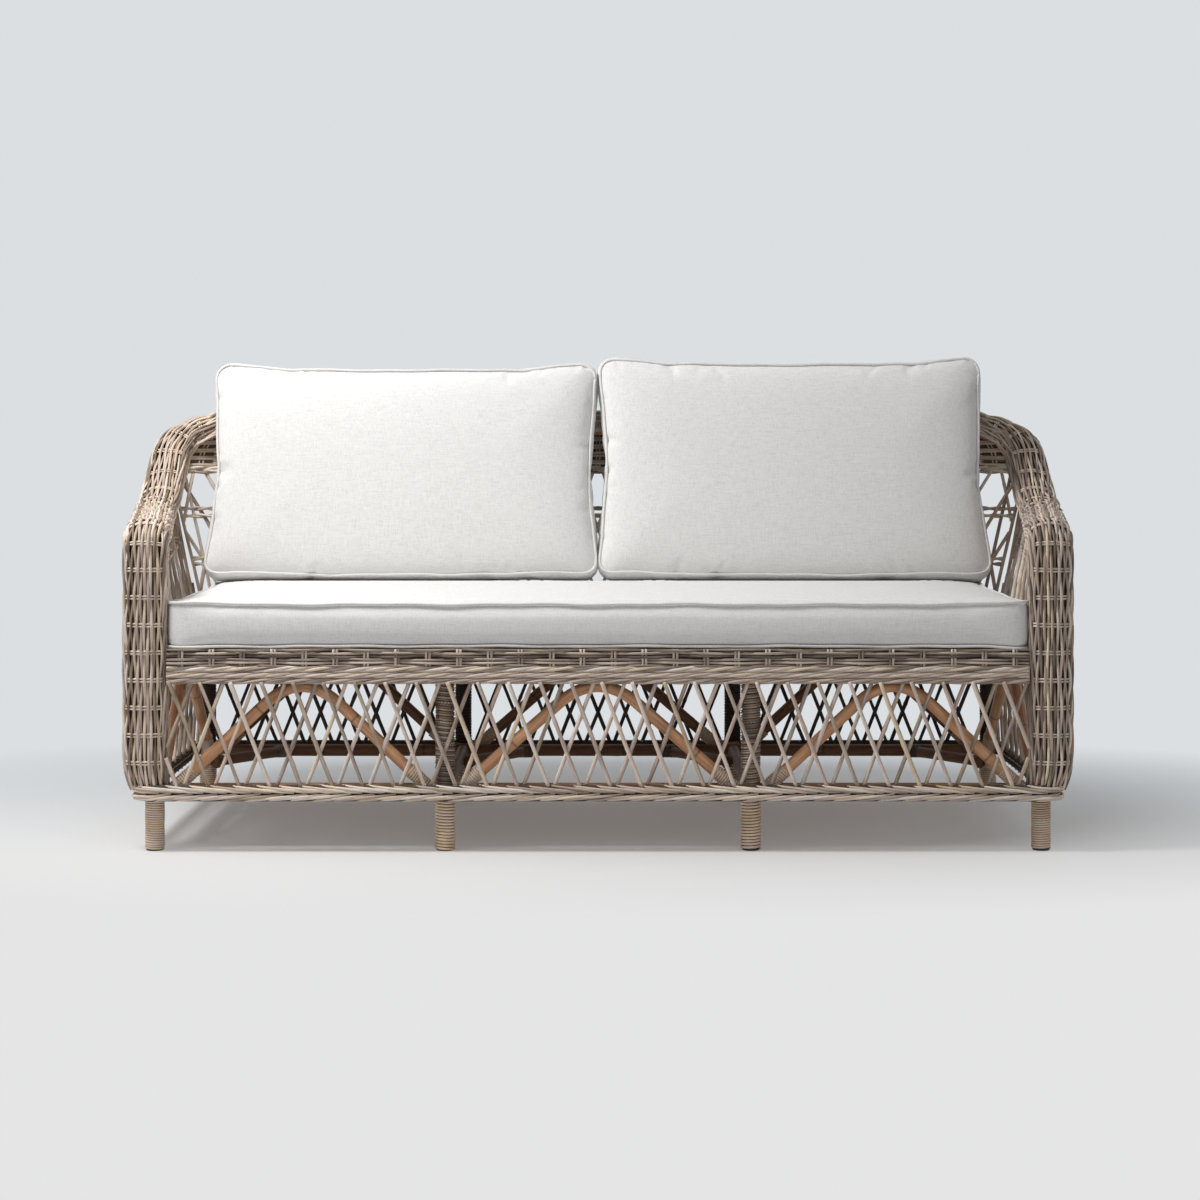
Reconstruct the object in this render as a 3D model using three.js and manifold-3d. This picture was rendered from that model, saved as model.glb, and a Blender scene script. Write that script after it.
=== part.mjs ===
// A three-seat rattan garden sofa: a frame of bent rattan poles, wicker woven over it as
// bands, braids and open lattices, and three loose cushions.
// Millimetres, +Z up. The front faces -Y, and the origin is on the floor under the middle.
import * as THREE from "three";
import { mergeVertices } from "three/addons/utils/BufferGeometryUtils.js";
import Module from "manifold-3d";

const wasm = await Module();
wasm.setup();

// Clearances
const touchGap = 0.3;
const mergeDistance = 0.001;
const sliverSize = 0.12;

// Plan of the frame
const cornerLegX = 864;
const middleLegX = 298;
const frontLegY = -379;
const backLegY = 303;

// Poles
const legRadius = 16;
const railRadius = 13;
const archRadius = 11.5;
const braceRadius = 11;
const poleSides = 8;
const legSides = 6;

// Heights
const braidBottomZ = 97;
const braidHeight = 34;
const latticeHeight = 195;
const apronHeight = 68;
const deckThickness = 8;

// Wicker
const weaveThickness = 15.4;
const braidThickness = 24;
const bandWidth = 82;
const bandWall = 7;
const bandDepth = 44;
const bandRise = 22;
const bandPoleDrop = 37;
const bandPoleRoom = 1;
const braidBulge = 6;
const cornerSteps = 4;
const rodWidth = 7.4;
const rodThickness = 6;
const rodSink = 1.4;
const rodStagger = 0.28;
const stripHeight = 5;
const pairPitch = 60.84;
const backPitch = 110;
const armPitch = 86;
const armTieSteps = 8;
const topSplit = 17.2;
const bottomSplit = 13.6;

// Arm and back line: how far the crown of the woven band lies out from the corner legs,
// behind the back legs and above the seat or the front of the arm
const armHeight = 253;
const armBendRadius = 65;
const armRear = { out: 94, back: -153, rise: 21 };
const wingElbow = { out: 102, back: -58, rise: 47 };
const wing = { out: 102, back: -3, rise: 98 };
const shoulderLow = { out: 93, back: 25, rise: 149 };
const shoulder = { out: 62, back: 49, rise: 187 };
const bandTop = { out: -12, back: 73, rise: 215 };

// Back panel
const wovenBackHeight = 130;
const wovenBackThickness = 11;
const armLatticeDrop = 30;
const armLatticeRoom = 5;
const lowTwistRise = 127;
const lowTwistHeight = 14;
const highTwistRise = 242;
const highTwistHeight = 19;
const backPanelFlare = 72;
const backPanelRoom = 0.2;
const postTuck = 0.5;
const wovenBackCorners = [[72, 130], [70, 94], [50, 68], [20, 47], [-14, 32], [-18, 14]];

// Braces between the bottom rails
const braceReachX = 113;
const braceReachY = 190;
const braceLap = 22;

// Arches
const archFootShare = 0.72;
const archShoulderZ = 285;
const archShoulderShare = 0.28;
const archSteps = 6;

// Foot windings
const windingTurns = 13;
const windingPitch = 6.75;
const strandHeight = 5.5;
const strandThickness = 2.8;
const windingGap = 0.35;
const footClearance = 3;

// Cushions
const seatCushion = { edge: 88, crown: 16, under: 0.5, bow: 4, corner: 28, bead: 4.5 };
const backCushion = { edge: 70, crown: 32, under: 22, bow: 6, corner: 32, bead: 4.5 };
const backCushionDepths = { left: 477, right: 490 };
const pipingShare = 0.6;
const cushionCornerSteps = 3;
const cushionSideSteps = 5;
const seatFrontInset = 6;
const seatSideRoom = 3.7;
const seatBackRoom = 5.7;
const backCushionOverhang = 10;
const cushionMiddleGap = 6;
const backCushionLean = THREE.MathUtils.degToRad(7);
const backCushionStand = 98;
const backCushionSink = 8.4;

// Levels and faces that follow from those sizes
const braidTopZ = braidBottomZ + braidHeight;
const apronBottomZ = braidTopZ + latticeHeight;
const apronTopZ = apronBottomZ + apronHeight;
const bottomRailZ = braidBottomZ + braidHeight / 2;
const seatRailZ = apronTopZ - deckThickness - railRadius - touchGap;
const frontInnerY = frontLegY - legRadius - touchGap;
const backInnerY = backLegY + legRadius + touchGap;
const sideInnerX = cornerLegX + legRadius + touchGap;
const flatShare = Math.cos(Math.PI / legSides);
const railInset = legRadius * flatShare + touchGap + railRadius;
const sideRailX = cornerLegX - legRadius - touchGap - railRadius;
const frontRailY = frontLegY + railInset;
const backRailY = backLegY - railInset;
const bandInnerX = cornerLegX - legRadius - touchGap - bandWall;
const bandX = bandInnerX + bandWidth / 2;
const bandFrontY = frontLegY - bandPoleDrop;
const poleSideShift = bandX - cornerLegX;
const armFrontZ = apronTopZ + armHeight;
const crownPoint = ({ out, back, rise }) => [cornerLegX + out, backLegY + back, armFrontZ + rise];
const [topX, topY, topZ] = crownPoint(bandTop);
const wovenBackBottomZ = topZ - wovenBackHeight;
const lowTwistZ = apronTopZ + lowTwistRise;
const highTwistZ = apronTopZ + highTwistRise;
const braidCornerRadius = legRadius + touchGap;
const frontmostY = frontInnerY - braidThickness;
const rearmostY = topY + bandWidth / 2;

// Materials
const rattan = new THREE.MeshStandardMaterial({ color: 0x9c6b42, roughness: 0.55, metalness: 0 });
const wicker = new THREE.MeshStandardMaterial({ color: 0x9d8c78, roughness: 0.8, metalness: 0 });
const cane = new THREE.MeshStandardMaterial({ color: 0xab977c, roughness: 0.75, metalness: 0 });
const linen = new THREE.MeshStandardMaterial({ color: 0xd9d7d2, roughness: 0.95, metalness: 0 });

const sides = [[-1, "left"], [1, "right"]];
const sofa = new THREE.Group();
const at = (x, y, z) => new THREE.Vector3(x, y, z);

function add(name, geometry, material) {
  const mesh = new THREE.Mesh(geometry, material);
  mesh.name = name;
  sofa.add(mesh);
  return mesh;
}

// A closed mesh with its faces turned outwards.
function closedMesh(points, faces) {
  let volume = 0;
  for (const [a, b, c] of faces) {
    volume += points[a].dot(new THREE.Vector3().crossVectors(points[b], points[c]));
  }
  const turned = volume < 0 ? faces.map(([a, b, c]) => [a, c, b]) : faces;
  const geometry = new THREE.BufferGeometry().setFromPoints(points);
  geometry.setIndex(turned.flat());
  geometry.computeVertexNormals();
  return geometry;
}

// Rings of points joined into one skin, with flat ends, or run round into a loop.
// outline is a flat drawing of a ring, which says how an end is filled.
function loft(rings, outline, looped = false) {
  const count = outline.length;
  const points = rings.flat();
  const faces = [];
  const spans = looped ? rings.length : rings.length - 1;
  for (let r = 0; r < spans; r += 1) {
    const here = r * count;
    const next = ((r + 1) % rings.length) * count;
    for (let i = 0; i < count; i += 1) {
      const j = (i + 1) % count;
      faces.push([here + i, here + j, next + j], [here + i, next + j, next + i]);
    }
  }
  if (!looped) {
    const last = (rings.length - 1) * count;
    const clockwise = THREE.ShapeUtils.isClockWise(outline);
    for (const face of THREE.ShapeUtils.triangulateShape(outline, [])) {
      const [a, b, c] = clockwise ? face.reverse() : face;
      faces.push([a, c, b], [last + a, last + b, last + c]);
    }
  }
  return closedMesh(points, faces);
}

// A flat ring of points, its corners over the axes.
function circle(radius, sides) {
  const points = [];
  for (let i = 0; i < sides; i += 1) {
    const angle = (i / sides) * Math.PI * 2;
    points.push(new THREE.Vector2(Math.cos(angle) * radius, Math.sin(angle) * radius));
  }
  return points;
}

// A round pole along a row of points, bent without twisting.
function pole(route, radius, sides = poleSides) {
  const outline = circle(radius, sides);
  const tangents = route.map((point, i) => {
    const before = route[Math.max(i - 1, 0)];
    const after = route[Math.min(i + 1, route.length - 1)];
    return after.clone().sub(before).normalize();
  });
  const start = tangents[0];
  const upright = Math.abs(start.z) > Math.SQRT1_2;
  let across = upright ? at(1, 0, 0) : at(0, 0, 1);
  const rings = route.map((point, i) => {
    across = across.clone().projectOnPlane(tangents[i]).normalize();
    const other = new THREE.Vector3().crossVectors(tangents[i], across);
    return outline.map(({ x, y }) =>
      point.clone().addScaledVector(across, x).addScaledVector(other, y),
    );
  });
  return loft(rings, outline);
}

// A box between two corners.
function slab(low, high) {
  const size = high.clone().sub(low);
  const geometry = new THREE.BoxGeometry(size.x, size.y, size.z);
  const middle = low.clone().add(high).multiplyScalar(0.5);
  return geometry.translate(middle.x, middle.y, middle.z);
}

// A solid that can be joined and cut, from a closed geometry.
function solidOf(geometry) {
  const bare = new THREE.BufferGeometry();
  bare.setAttribute("position", geometry.getAttribute("position"));
  bare.setIndex(geometry.index);
  const merged = mergeVertices(bare, mergeDistance);
  return new wasm.Manifold(
    new wasm.Mesh({
      numProp: 3,
      vertProperties: merged.attributes.position.array,
      triVerts: new Uint32Array(merged.index.array),
    }),
  );
}

// The joined solid as a geometry.
function geometryOf(solid) {
  const mesh = solid.getMesh();
  const points = [];
  for (let i = 0; i < mesh.numVert; i += 1) {
    const k = i * mesh.numProp;
    points.push(at(...mesh.vertProperties.subarray(k, k + 3)));
  }
  const faces = [];
  for (let i = 0; i < mesh.numTri; i += 1) {
    faces.push([...mesh.triVerts.subarray(i * 3, i * 3 + 3)]);
  }
  return closedMesh(points, faces);
}

const unitSquare = [[0, 0], [1, 0], [1, 1], [0, 1]].map(([x, y]) => new THREE.Vector2(x, y));

// A bar of a lattice between two spots of its flat drawing, each point put in place.
// x is along the panel, z up it, and near and far are depths through it.
function bar(low, high, half, near, far, place) {
  const rings = [low, high].map(([x, z]) => [
    place(x - half, near, z),
    place(x + half, near, z),
    place(x + half, far, z),
    place(x - half, far, z),
  ]);
  return solidOf(loft(rings, unitSquare));
}

// A lattice of rods, drawn flat and put in place. Each pair of rods leaves the top together, one
// leaning each way on its own side of the panel, and crosses its neighbours on the way down.
// ties are the heights of the strips that hold the rods.
function lattice(length, height, pitch, tiers, ties, place, tieSteps = 1) {
  const pairs = Math.round(length / pitch);
  const step = length / pairs;
  const run = (tiers + 1 / 2) * step - (topSplit + bottomSplit) / 2;
  const foot = ties[0][0] + stripHeight / 2;
  const head = height - stripHeight / 2;
  const half = (rodWidth * Math.hypot(height, run)) / height / 2;
  const edge = half + 2 * rodSink;
  const solids = [];
  const layers = [
    [1, rodSink, rodSink + rodThickness],
    [-1, weaveThickness - rodSink - rodThickness, weaveThickness - rodSink],
  ];
  for (let k = -tiers - 1; k <= pairs + tiers + 1; k += 1) {
    for (const [way, near, far] of layers) {
      const reach = (z) => k * step + way * (topSplit / 2 + run * (1 - z / height));
      const slope = (-way * run) / height;
      const [low, high] = [foot, head].map((z) => {
        const x = THREE.MathUtils.clamp(reach(z), edge, length - edge);
        return [x, z + (x - reach(z)) / slope];
      });
      const depths = [near, far].map((depth) => depth + rodStagger * Math.sin(k * k));
      if (high[1] - low[1] > stripHeight) solids.push(bar(low, high, half, ...depths, place));
    }
  }
  for (const [low, high] of ties) {
    const corners = [[0, low], [weaveThickness, low], [weaveThickness, high], [0, high]];
    const rings = [];
    for (let i = 0; i <= tieSteps; i += 1) {
      rings.push(corners.map(([y, z]) => place((i / tieSteps) * length, y, z)));
    }
    solids.push(solidOf(loft(rings, unitSquare)));
  }
  const margin = stripHeight / 2 + rodSink;
  for (const x of [margin, length - margin]) {
    const depths = [rodSink / 2, weaveThickness - rodSink / 2];
    solids.push(bar([x, foot], [x, head], stripHeight / 2, ...depths, place));
  }
  return geometryOf(wasm.Manifold.union(solids).simplify(sliverSize));
}

// The crown of the woven band on the right side: where it runs, and which way its outer edge
// lies. It goes up the front corner, back along the arm, up the wing and in to the top.
function bandStations() {
  const bendMiddle = at(bandX, bandFrontY + armBendRadius, armFrontZ - armBendRadius);
  const bend = [0, 0.25, 0.5, 0.75].map((share) => {
    const angle = (share * Math.PI) / 2;
    const out = at(0, -Math.cos(angle), Math.sin(angle)).multiplyScalar(armBendRadius);
    return bendMiddle.clone().add(out);
  });
  const sweep = new THREE.CatmullRomCurve3([
    at(bandX, bendMiddle.y, armFrontZ),
    ...[armRear, wingElbow, wing, shoulderLow, shoulder, bandTop].map((spot) => at(...crownPoint(spot))),
  ]);
  const edges = [
    [1, 0, 0],
    [1, 0, 0],
    [0.96, 0.2, 0.05],
    [0.93, 0.34, 0.1],
    [0.72, 0.55, 0.4],
    [0.35, 0.88, 0.3],
    [0, 1, 0],
  ].map((shares) => at(...shares));
  const edgeCurve = new THREE.CatmullRomCurve3(edges);
  const steps = (edges.length - 1) * 2;
  const stations = [
    { point: at(bandX, bandFrontY, braidTopZ + touchGap), tangent: at(0, 0, 1), edge: at(1, 0, 0) },
    ...bend.map((point, i) => {
      const angle = (i / bend.length) * (Math.PI / 2);
      return { point, tangent: at(0, Math.sin(angle), Math.cos(angle)), edge: at(1, 0, 0) };
    }),
  ];
  for (let i = 0; i <= steps; i += 1) {
    const share = i / steps;
    const tangent = i === steps ? at(-1, 0, 0) : sweep.getTangent(share);
    stations.push({ point: sweep.getPoint(share), tangent, edge: edgeCurve.getPoint(share) });
  }
  for (const station of stations) {
    station.edge = station.edge.projectOnPlane(station.tangent).normalize();
    station.crown = new THREE.Vector3().crossVectors(station.edge, station.tangent).normalize();
  }
  return stations;
}

const stations = bandStations();

// A point of the band's section: out along its edge, and up from its crown.
function bandPoint({ point, edge, crown }, out, up) {
  return point.clone().addScaledVector(edge, out).addScaledVector(crown, up);
}

// The band's section, an arched channel that is open below.
function bandSection() {
  const half = bandWidth / 2;
  const arc = (wide, high, drop) => {
    const points = [new THREE.Vector2(-wide, -bandDepth)];
    const turns = 6;
    for (let i = 0; i <= turns; i += 1) {
      const angle = Math.PI * (1 - i / turns);
      const up = Math.sin(angle) * high - high - drop;
      points.push(new THREE.Vector2(Math.cos(angle) * wide, up));
    }
    points.push(new THREE.Vector2(wide, -bandDepth));
    return points;
  };
  const outer = arc(half, bandRise, 0);
  const inner = arc(half - bandWall, bandRise - bandWall / 2, bandWall);
  return [...outer, ...inner.reverse()];
}

const mirrored = (points) => points.map(({ x, y, z }) => at(-x, y, z));

function mirrorRoute(route, side) {
  return side < 0 ? mirrored(route) : route;
}

// The back posts stand upright to the top of the seat and lean back above it.
const topPoleY = topY - poleSideShift;
const topPoleZ = topZ - bandPoleDrop;
const postTopZ = topPoleZ - 2 * legRadius + postTuck;
const postBendZ = apronTopZ + legRadius / 2;
const postSlope = (topPoleY - backLegY) / (postTopZ - postBendZ);
const backFaceY = (z) => backInnerY + postSlope * Math.max(z - postBendZ, 0) + backPanelRoom;

// Legs. The front corner poles bend over the arms and end at the top of the back.
function armPoleRoute() {
  const route = stations.map((station, i) => {
    const room = (bandPoleRoom * i) / stations.length;
    return bandPoint(station, room - poleSideShift, -bandPoleDrop);
  });
  route[0] = at(cornerLegX, frontLegY, 0);
  const last = route.at(-1);
  route.splice(-1, 1, at(last.x + legRadius, last.y, last.z), last);
  return route;
}

function addLegs() {
  for (const [side, name] of sides) {
    const straight = [0, apronTopZ - deckThickness - touchGap];
    const lean = [
      at(side * middleLegX, backLegY, 0),
      at(side * middleLegX, backLegY, postBendZ),
      at(side * middleLegX, topPoleY, postTopZ),
    ];
    const corner = [0, apronTopZ].map((z) => at(side * cornerLegX, backLegY, z));
    add(`${name}_arm_pole`, pole(mirrorRoute(armPoleRoute(), side), legRadius, legSides), rattan);
    add(
      `${name}_front_middle_leg`,
      pole(straight.map((z) => at(side * middleLegX, frontLegY, z)), legRadius, legSides),
      rattan,
    );
    add(`${name}_back_middle_leg`, pole(lean, legRadius, legSides), rattan);
    add(`${name}_back_corner_leg`, pole(corner, legRadius, legSides), rattan);
  }
  const end = topX - touchGap;
  add("top_rail", pole([at(-end, topPoleY, topPoleZ), at(end, topPoleY, topPoleZ)], legRadius, legSides), rattan);
}

// A round of cane wound up the foot of each leg, as one strand.
function windingRing(angle, z) {
  const reach = legRadius + windingGap / Math.cos(Math.PI / legSides);
  const section = [
    [reach, -strandHeight / 2],
    [reach, strandHeight / 2],
    [reach + strandThickness, 0],
  ];
  return section.map(([out, up]) => at(Math.cos(angle) * out, Math.sin(angle) * out, z + up));
}

function winding() {
  const rings = [];
  const start = footClearance + strandHeight / 2;
  for (let i = 0; i <= windingTurns * legSides; i += 1) {
    const turn = i / legSides;
    rings.push(windingRing(turn * Math.PI * 2, start + turn * windingPitch));
  }
  const outline = [[0, 0], [0, 1], [1, 0]].map(([x, y]) => new THREE.Vector2(x, y));
  return { rings, geometry: loft(rings, outline) };
}

// The least gap between a winding's strand and its next turn, on its points.
function leastTurnGap(rings) {
  let least = Infinity;
  for (let i = 0; i + legSides < rings.length; i += 1) {
    for (const a of rings[i]) {
      for (const b of rings[i + legSides]) least = Math.min(least, a.distanceTo(b));
    }
  }
  return least;
}

function addWindings() {
  const { rings, geometry } = winding();
  console.log(`foot winding: least gap between turns ${leastTurnGap(rings).toFixed(2)} mm`);
  const rows = [["front", frontLegY], ["back", backLegY]];
  const columns = [["corner", cornerLegX], ["middle", middleLegX]];
  for (const [side, name] of sides) {
    for (const [row, y] of rows) {
      for (const [column, x] of columns) {
        const mesh = add(`${name}_${row}_${column}_foot_winding`, geometry, cane);
        mesh.position.set(side * x, y, 0);
      }
    }
  }
}

// Rails, stretchers and braces, laid inside the legs.
function addRails() {
  const end = sideRailX - railRadius - touchGap;
  const wallEnd = frontLegY + bandDepth - bandPoleDrop + touchGap;
  const inner = railRadius + touchGap;
  for (const [level, z, sideFront] of [["bottom", bottomRailZ, frontRailY - railRadius], ["seat", seatRailZ, wallEnd]]) {
    for (const [row, y] of [["front", frontRailY], ["back", backRailY]]) {
      add(`${row}_${level}_rail`, pole([at(-end, y, z), at(end, y, z)], railRadius), rattan);
    }
    const sideBack = level === "seat" ? backLegY : backRailY + railRadius;
    for (const [side, name] of sides) {
      const x = side * sideRailX;
      add(`${name}_${level}_rail`, pole([at(x, sideFront, z), at(x, sideBack, z)], railRadius), rattan);
      const cross = [frontRailY + inner, backRailY - inner].map((y) => at(side * middleLegX, y, z));
      add(`${name}_${level}_stretcher`, pole(cross, railRadius), rattan);
    }
  }
  const touch = railRadius + braceRadius + touchGap;
  for (const [side, name] of sides) {
    const joints = [
      ["outer", sideRailX - touch, -1],
      ["inner", middleLegX - touch, -1],
    ];
    for (const [place, x, way] of joints) {
      const start = at(side * x, backRailY - braceReachY, bottomRailZ);
      const finish = at(side * (x + way * braceReachX), backRailY - touch, bottomRailZ);
      const route = [
        at(start.x, start.y - braceLap, start.z),
        start,
        finish,
        at(finish.x + side * way * braceLap, finish.y, finish.z),
      ];
      add(`${name}_${place}_knee_brace`, pole(route, braceRadius), rattan);
    }
  }
}

// An arch: two straight legs up to its shoulders and a rounded crown between them.
function archRoute(halfSpan) {
  const shoulder = halfSpan * archShoulderShare;
  const slope = (archShoulderZ - bottomRailZ) / (halfSpan - shoulder);
  const crown = new THREE.QuadraticBezierCurve3(
    at(-shoulder, 0, archShoulderZ),
    at(0, 0, archShoulderZ + slope * shoulder),
    at(shoulder, 0, archShoulderZ),
  );
  return [at(-halfSpan, 0, bottomRailZ), ...crown.getPoints(archSteps), at(halfSpan, 0, bottomRailZ)];
}

function addArches() {
  const footRoom = legRadius + archRadius * archFootShare + touchGap;
  const inner = middleLegX + footRoom;
  const outer = cornerLegX - footRoom - bandWall - touchGap;
  const bays = [
    ["left", -(outer + inner) / 2, (outer - inner) / 2],
    ["centre", 0, middleLegX - footRoom],
    ["right", (outer + inner) / 2, (outer - inner) / 2],
  ];
  const off = railRadius + archRadius * flatShare + touchGap;
  for (const [name, x, halfSpan] of bays) {
    const route = archRoute(halfSpan);
    for (const [row, y] of [["front", frontRailY - off], ["back", backRailY + off]]) {
      const mesh = add(`${name}_${row}_arch`, pole(route, archRadius, legSides), rattan);
      mesh.position.set(x, y, 0);
    }
  }
  for (const [side, name] of sides) {
    const route = archRoute((backLegY - frontLegY) / 2 - footRoom);
    const mesh = add(`${name}_side_arch`, pole(route, archRadius, legSides), rattan);
    mesh.rotation.z = Math.PI / 2;
    mesh.position.set(side * (sideRailX + off), (frontLegY + backLegY) / 2, 0);
  }
}

// The braid round the base: a ring with rounded corners and a bulging section.
function braidRoute(radius) {
  const x = sideInnerX - radius;
  const front = frontInnerY + radius;
  const back = backInnerY - radius;
  const corners = [[x, back, 0], [-x, back, 1], [-x, front, 2], [x, front, 3]];
  const route = [];
  for (const [cx, cy, quarter] of corners) {
    for (let i = 0; i <= cornerSteps; i += 1) {
      const angle = (quarter + i / cornerSteps) * (Math.PI / 2);
      route.push({ middle: at(cx, cy, 0), out: at(Math.cos(angle), Math.sin(angle), 0), radius });
    }
  }
  return route;
}

function ringSection(thickness, low, high, bulge) {
  const waist = (low + high) / 2;
  return [
    [0, low],
    [thickness - bulge, low],
    [thickness, low + bulge],
    [thickness - bulge / 2, waist],
    [thickness, high - bulge],
    [thickness - bulge, high],
    [0, high],
  ];
}

function addBraid() {
  const section = ringSection(braidThickness, braidBottomZ, braidTopZ, braidBulge);
  const rings = braidRoute(braidCornerRadius).map(({ middle, out, radius }) =>
    section.map(([reach, z]) => middle.clone().addScaledVector(out, radius + reach).setZ(z)),
  );
  const outline = section.map(([x, y]) => new THREE.Vector2(x, y));
  add("base_braid", loft(rings, outline, true), wicker);
}

// The woven apron: a straight front between the bands, and the sides and back as one.
function addAprons() {
  const low = apronBottomZ + touchGap;
  const end = bandInnerX - touchGap;
  const outer = frontInnerY - weaveThickness;
  add("front_apron", slab(at(-end, outer, low), at(end, frontInnerY, apronTopZ)), wicker);
  const route = braidRoute(braidCornerRadius);
  const half = route.slice(0, 2 * (cornerSteps + 1));
  const section = [[0, low], [weaveThickness, low], [weaveThickness, apronTopZ], [0, apronTopZ]];
  const ring = ({ middle, out, radius }) =>
    section.map(([reach, z]) => middle.clone().addScaledVector(out, radius + reach).setZ(z));
  const front = (side) =>
    section.map(([reach, z]) => at(side * (sideInnerX + reach), frontInnerY, z));
  const outline = section.map(([x, y]) => new THREE.Vector2(x, y));
  add("side_and_back_apron", loft([front(1), ...half.map(ring), front(-1)], outline), wicker);
}

// The lower lattices, between the base braid and the apron.
function lowerLattice(length, pitch, place) {
  const height = latticeHeight - touchGap;
  const ties = [[0, stripHeight], [height - stripHeight, height]];
  const base = braidTopZ + touchGap;
  return lattice(length, height, pitch, 1, ties, (x, y, z) => place(x - length / 2, y, base + z));
}

function addLowerLattices() {
  const frontLength = 2 * (bandInnerX - touchGap);
  const backLength = 2 * cornerLegX;
  const sideLength = backLegY - frontLegY;
  const outer = weaveThickness;
  const front = (x, y, z) => at(x, frontInnerY - outer + y, z);
  const back = (x, y, z) => at(-x, backInnerY + outer - y, z);
  add("front_lattice", lowerLattice(frontLength, pairPitch, front), wicker);
  add("back_lower_lattice", lowerLattice(backLength, backPitch, back), wicker);
  const middle = (frontLegY + backLegY) / 2;
  for (const [side, name] of sides) {
    const place = (x, y, z) => at(side * (sideInnerX + outer - y), middle + x, z);
    add(`${name}_lower_lattice`, lowerLattice(sideLength, armPitch, place), wicker);
  }
}

// The back lattice, between the seat and the woven top, with two twists through it.
function addBackLattice() {
  const base = apronTopZ + touchGap;
  const height = wovenBackBottomZ - touchGap - base;
  const length = 2 * cornerLegX;
  const ties = [
    [0, stripHeight],
    [lowTwistZ - base, lowTwistZ + lowTwistHeight - base],
    [highTwistZ - base, highTwistZ + highTwistHeight - base],
    [height - stripHeight, height],
  ];
  const place = (x, y, z) => {
    const spread = 1 + ((backPanelFlare / cornerLegX) * z) / height;
    return at((x - length / 2) * spread, backFaceY(base + z) + y, base + z);
  };
  add("back_lattice", lattice(length, height, backPitch, 2, ties, place), wicker);
}

// The arm lattices: upright at the front and leaning out at the back, up into the arm band.
function addArmLattices() {
  const base = apronTopZ + touchGap;
  const length = backLegY - frontLegY;
  const first = stations.findIndex(({ point }) => point.z >= armFrontZ - touchGap);
  const last = stations.findIndex(({ point }) => point.z >= armFrontZ + wing.rise - touchGap);
  const inward = legRadius + touchGap - poleSideShift + armLatticeRoom;
  const top = (share, out) => {
    const spot = first + share * (last - first);
    const i = Math.min(Math.floor(spot), last - 1);
    const ends = stations.slice(i, i + 2).map((s) => bandPoint(s, inward + out, -armLatticeDrop));
    return ends[0].lerp(ends[1], spot - i);
  };
  const height = top(0, 0).z - base;
  const ties = [[0, stripHeight], [height - stripHeight, height]];
  for (const [side, name] of sides) {
    const place = (x, y, z) => {
      const head = top(x / length, y);
      const point = at(sideInnerX + y, frontLegY + x, base).lerp(head, z / height);
      return at(side * point.x, point.y, point.z);
    };
    add(`${name}_arm_lattice`, lattice(length, height, armPitch, 1, ties, place, armTieSteps), wicker);
  }
}

// The woven bands over the arms, the roll along the top and the woven panel below it.
function addBands() {
  const section = bandSection();
  const ring = (station) => section.map(({ x, y }) => bandPoint(station, x, y));
  const rings = stations.map(ring);
  for (const [side, name] of sides) {
    add(`${name}_arm_band`, loft(rings.map((r) => mirrorRoute(r, side)), section), wicker);
  }
  const end = ring(stations.at(-1));
  const rollEnds = [-1, 1].map((side) => end.map(({ y, z }) => at(side * (topX - touchGap), y, z)));
  add("top_roll", loft(rollEnds, section), wicker);
  const right = wovenBackCorners.map(([out, drop]) => new THREE.Vector2(cornerLegX + out, topZ - drop));
  const left = right.map(({ x, y }) => new THREE.Vector2(-x, y)).reverse();
  const outline = [...right, ...left];
  const faces = [0, wovenBackThickness].map((depth) =>
    outline.map(({ x, y }) => at(x, backFaceY(y) + depth, y)),
  );
  add("woven_top_panel", loft(faces, outline), wicker);
}

// The woven deck under the seat cushion, on the seat rails.
function addDeck() {
  const low = at(touchGap - bandInnerX, frontInnerY + touchGap, apronTopZ - deckThickness);
  const high = at(bandInnerX - touchGap, backLegY - legRadius - touchGap, apronTopZ);
  add("seat_deck", slab(low, high), cane);
}

// A cushion's outline from above: rounded corners, and sides drawn in between them.
function cushionOutline({ width, depth, corner, bow }) {
  const x = width / 2 - corner;
  const y = depth / 2 - corner;
  const corners = [[x, y], [-x, y], [-x, -y], [x, -y]];
  const points = [];
  corners.forEach(([cx, cy], quarter) => {
    for (let i = 0; i <= cushionCornerSteps; i += 1) {
      const angle = (quarter + i / cushionCornerSteps) * (Math.PI / 2);
      const out = new THREE.Vector2(Math.cos(angle), Math.sin(angle));
      points.push({ spot: new THREE.Vector2(cx, cy).addScaledVector(out, corner), out });
    }
    const [nx, ny] = corners[(quarter + 1) % corners.length];
    const out = new THREE.Vector2(Math.cos((quarter + 1) * (Math.PI / 2)), Math.sin((quarter + 1) * (Math.PI / 2)));
    for (let i = 1; i < cushionSideSteps; i += 1) {
      const share = i / cushionSideSteps;
      const drawn = corner - bow * Math.sin(Math.PI * share);
      const spot = new THREE.Vector2(cx + (nx - cx) * share, cy + (ny - cy) * share);
      points.push({ spot: spot.addScaledVector(out, drawn), out });
    }
  });
  return points;
}

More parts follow.
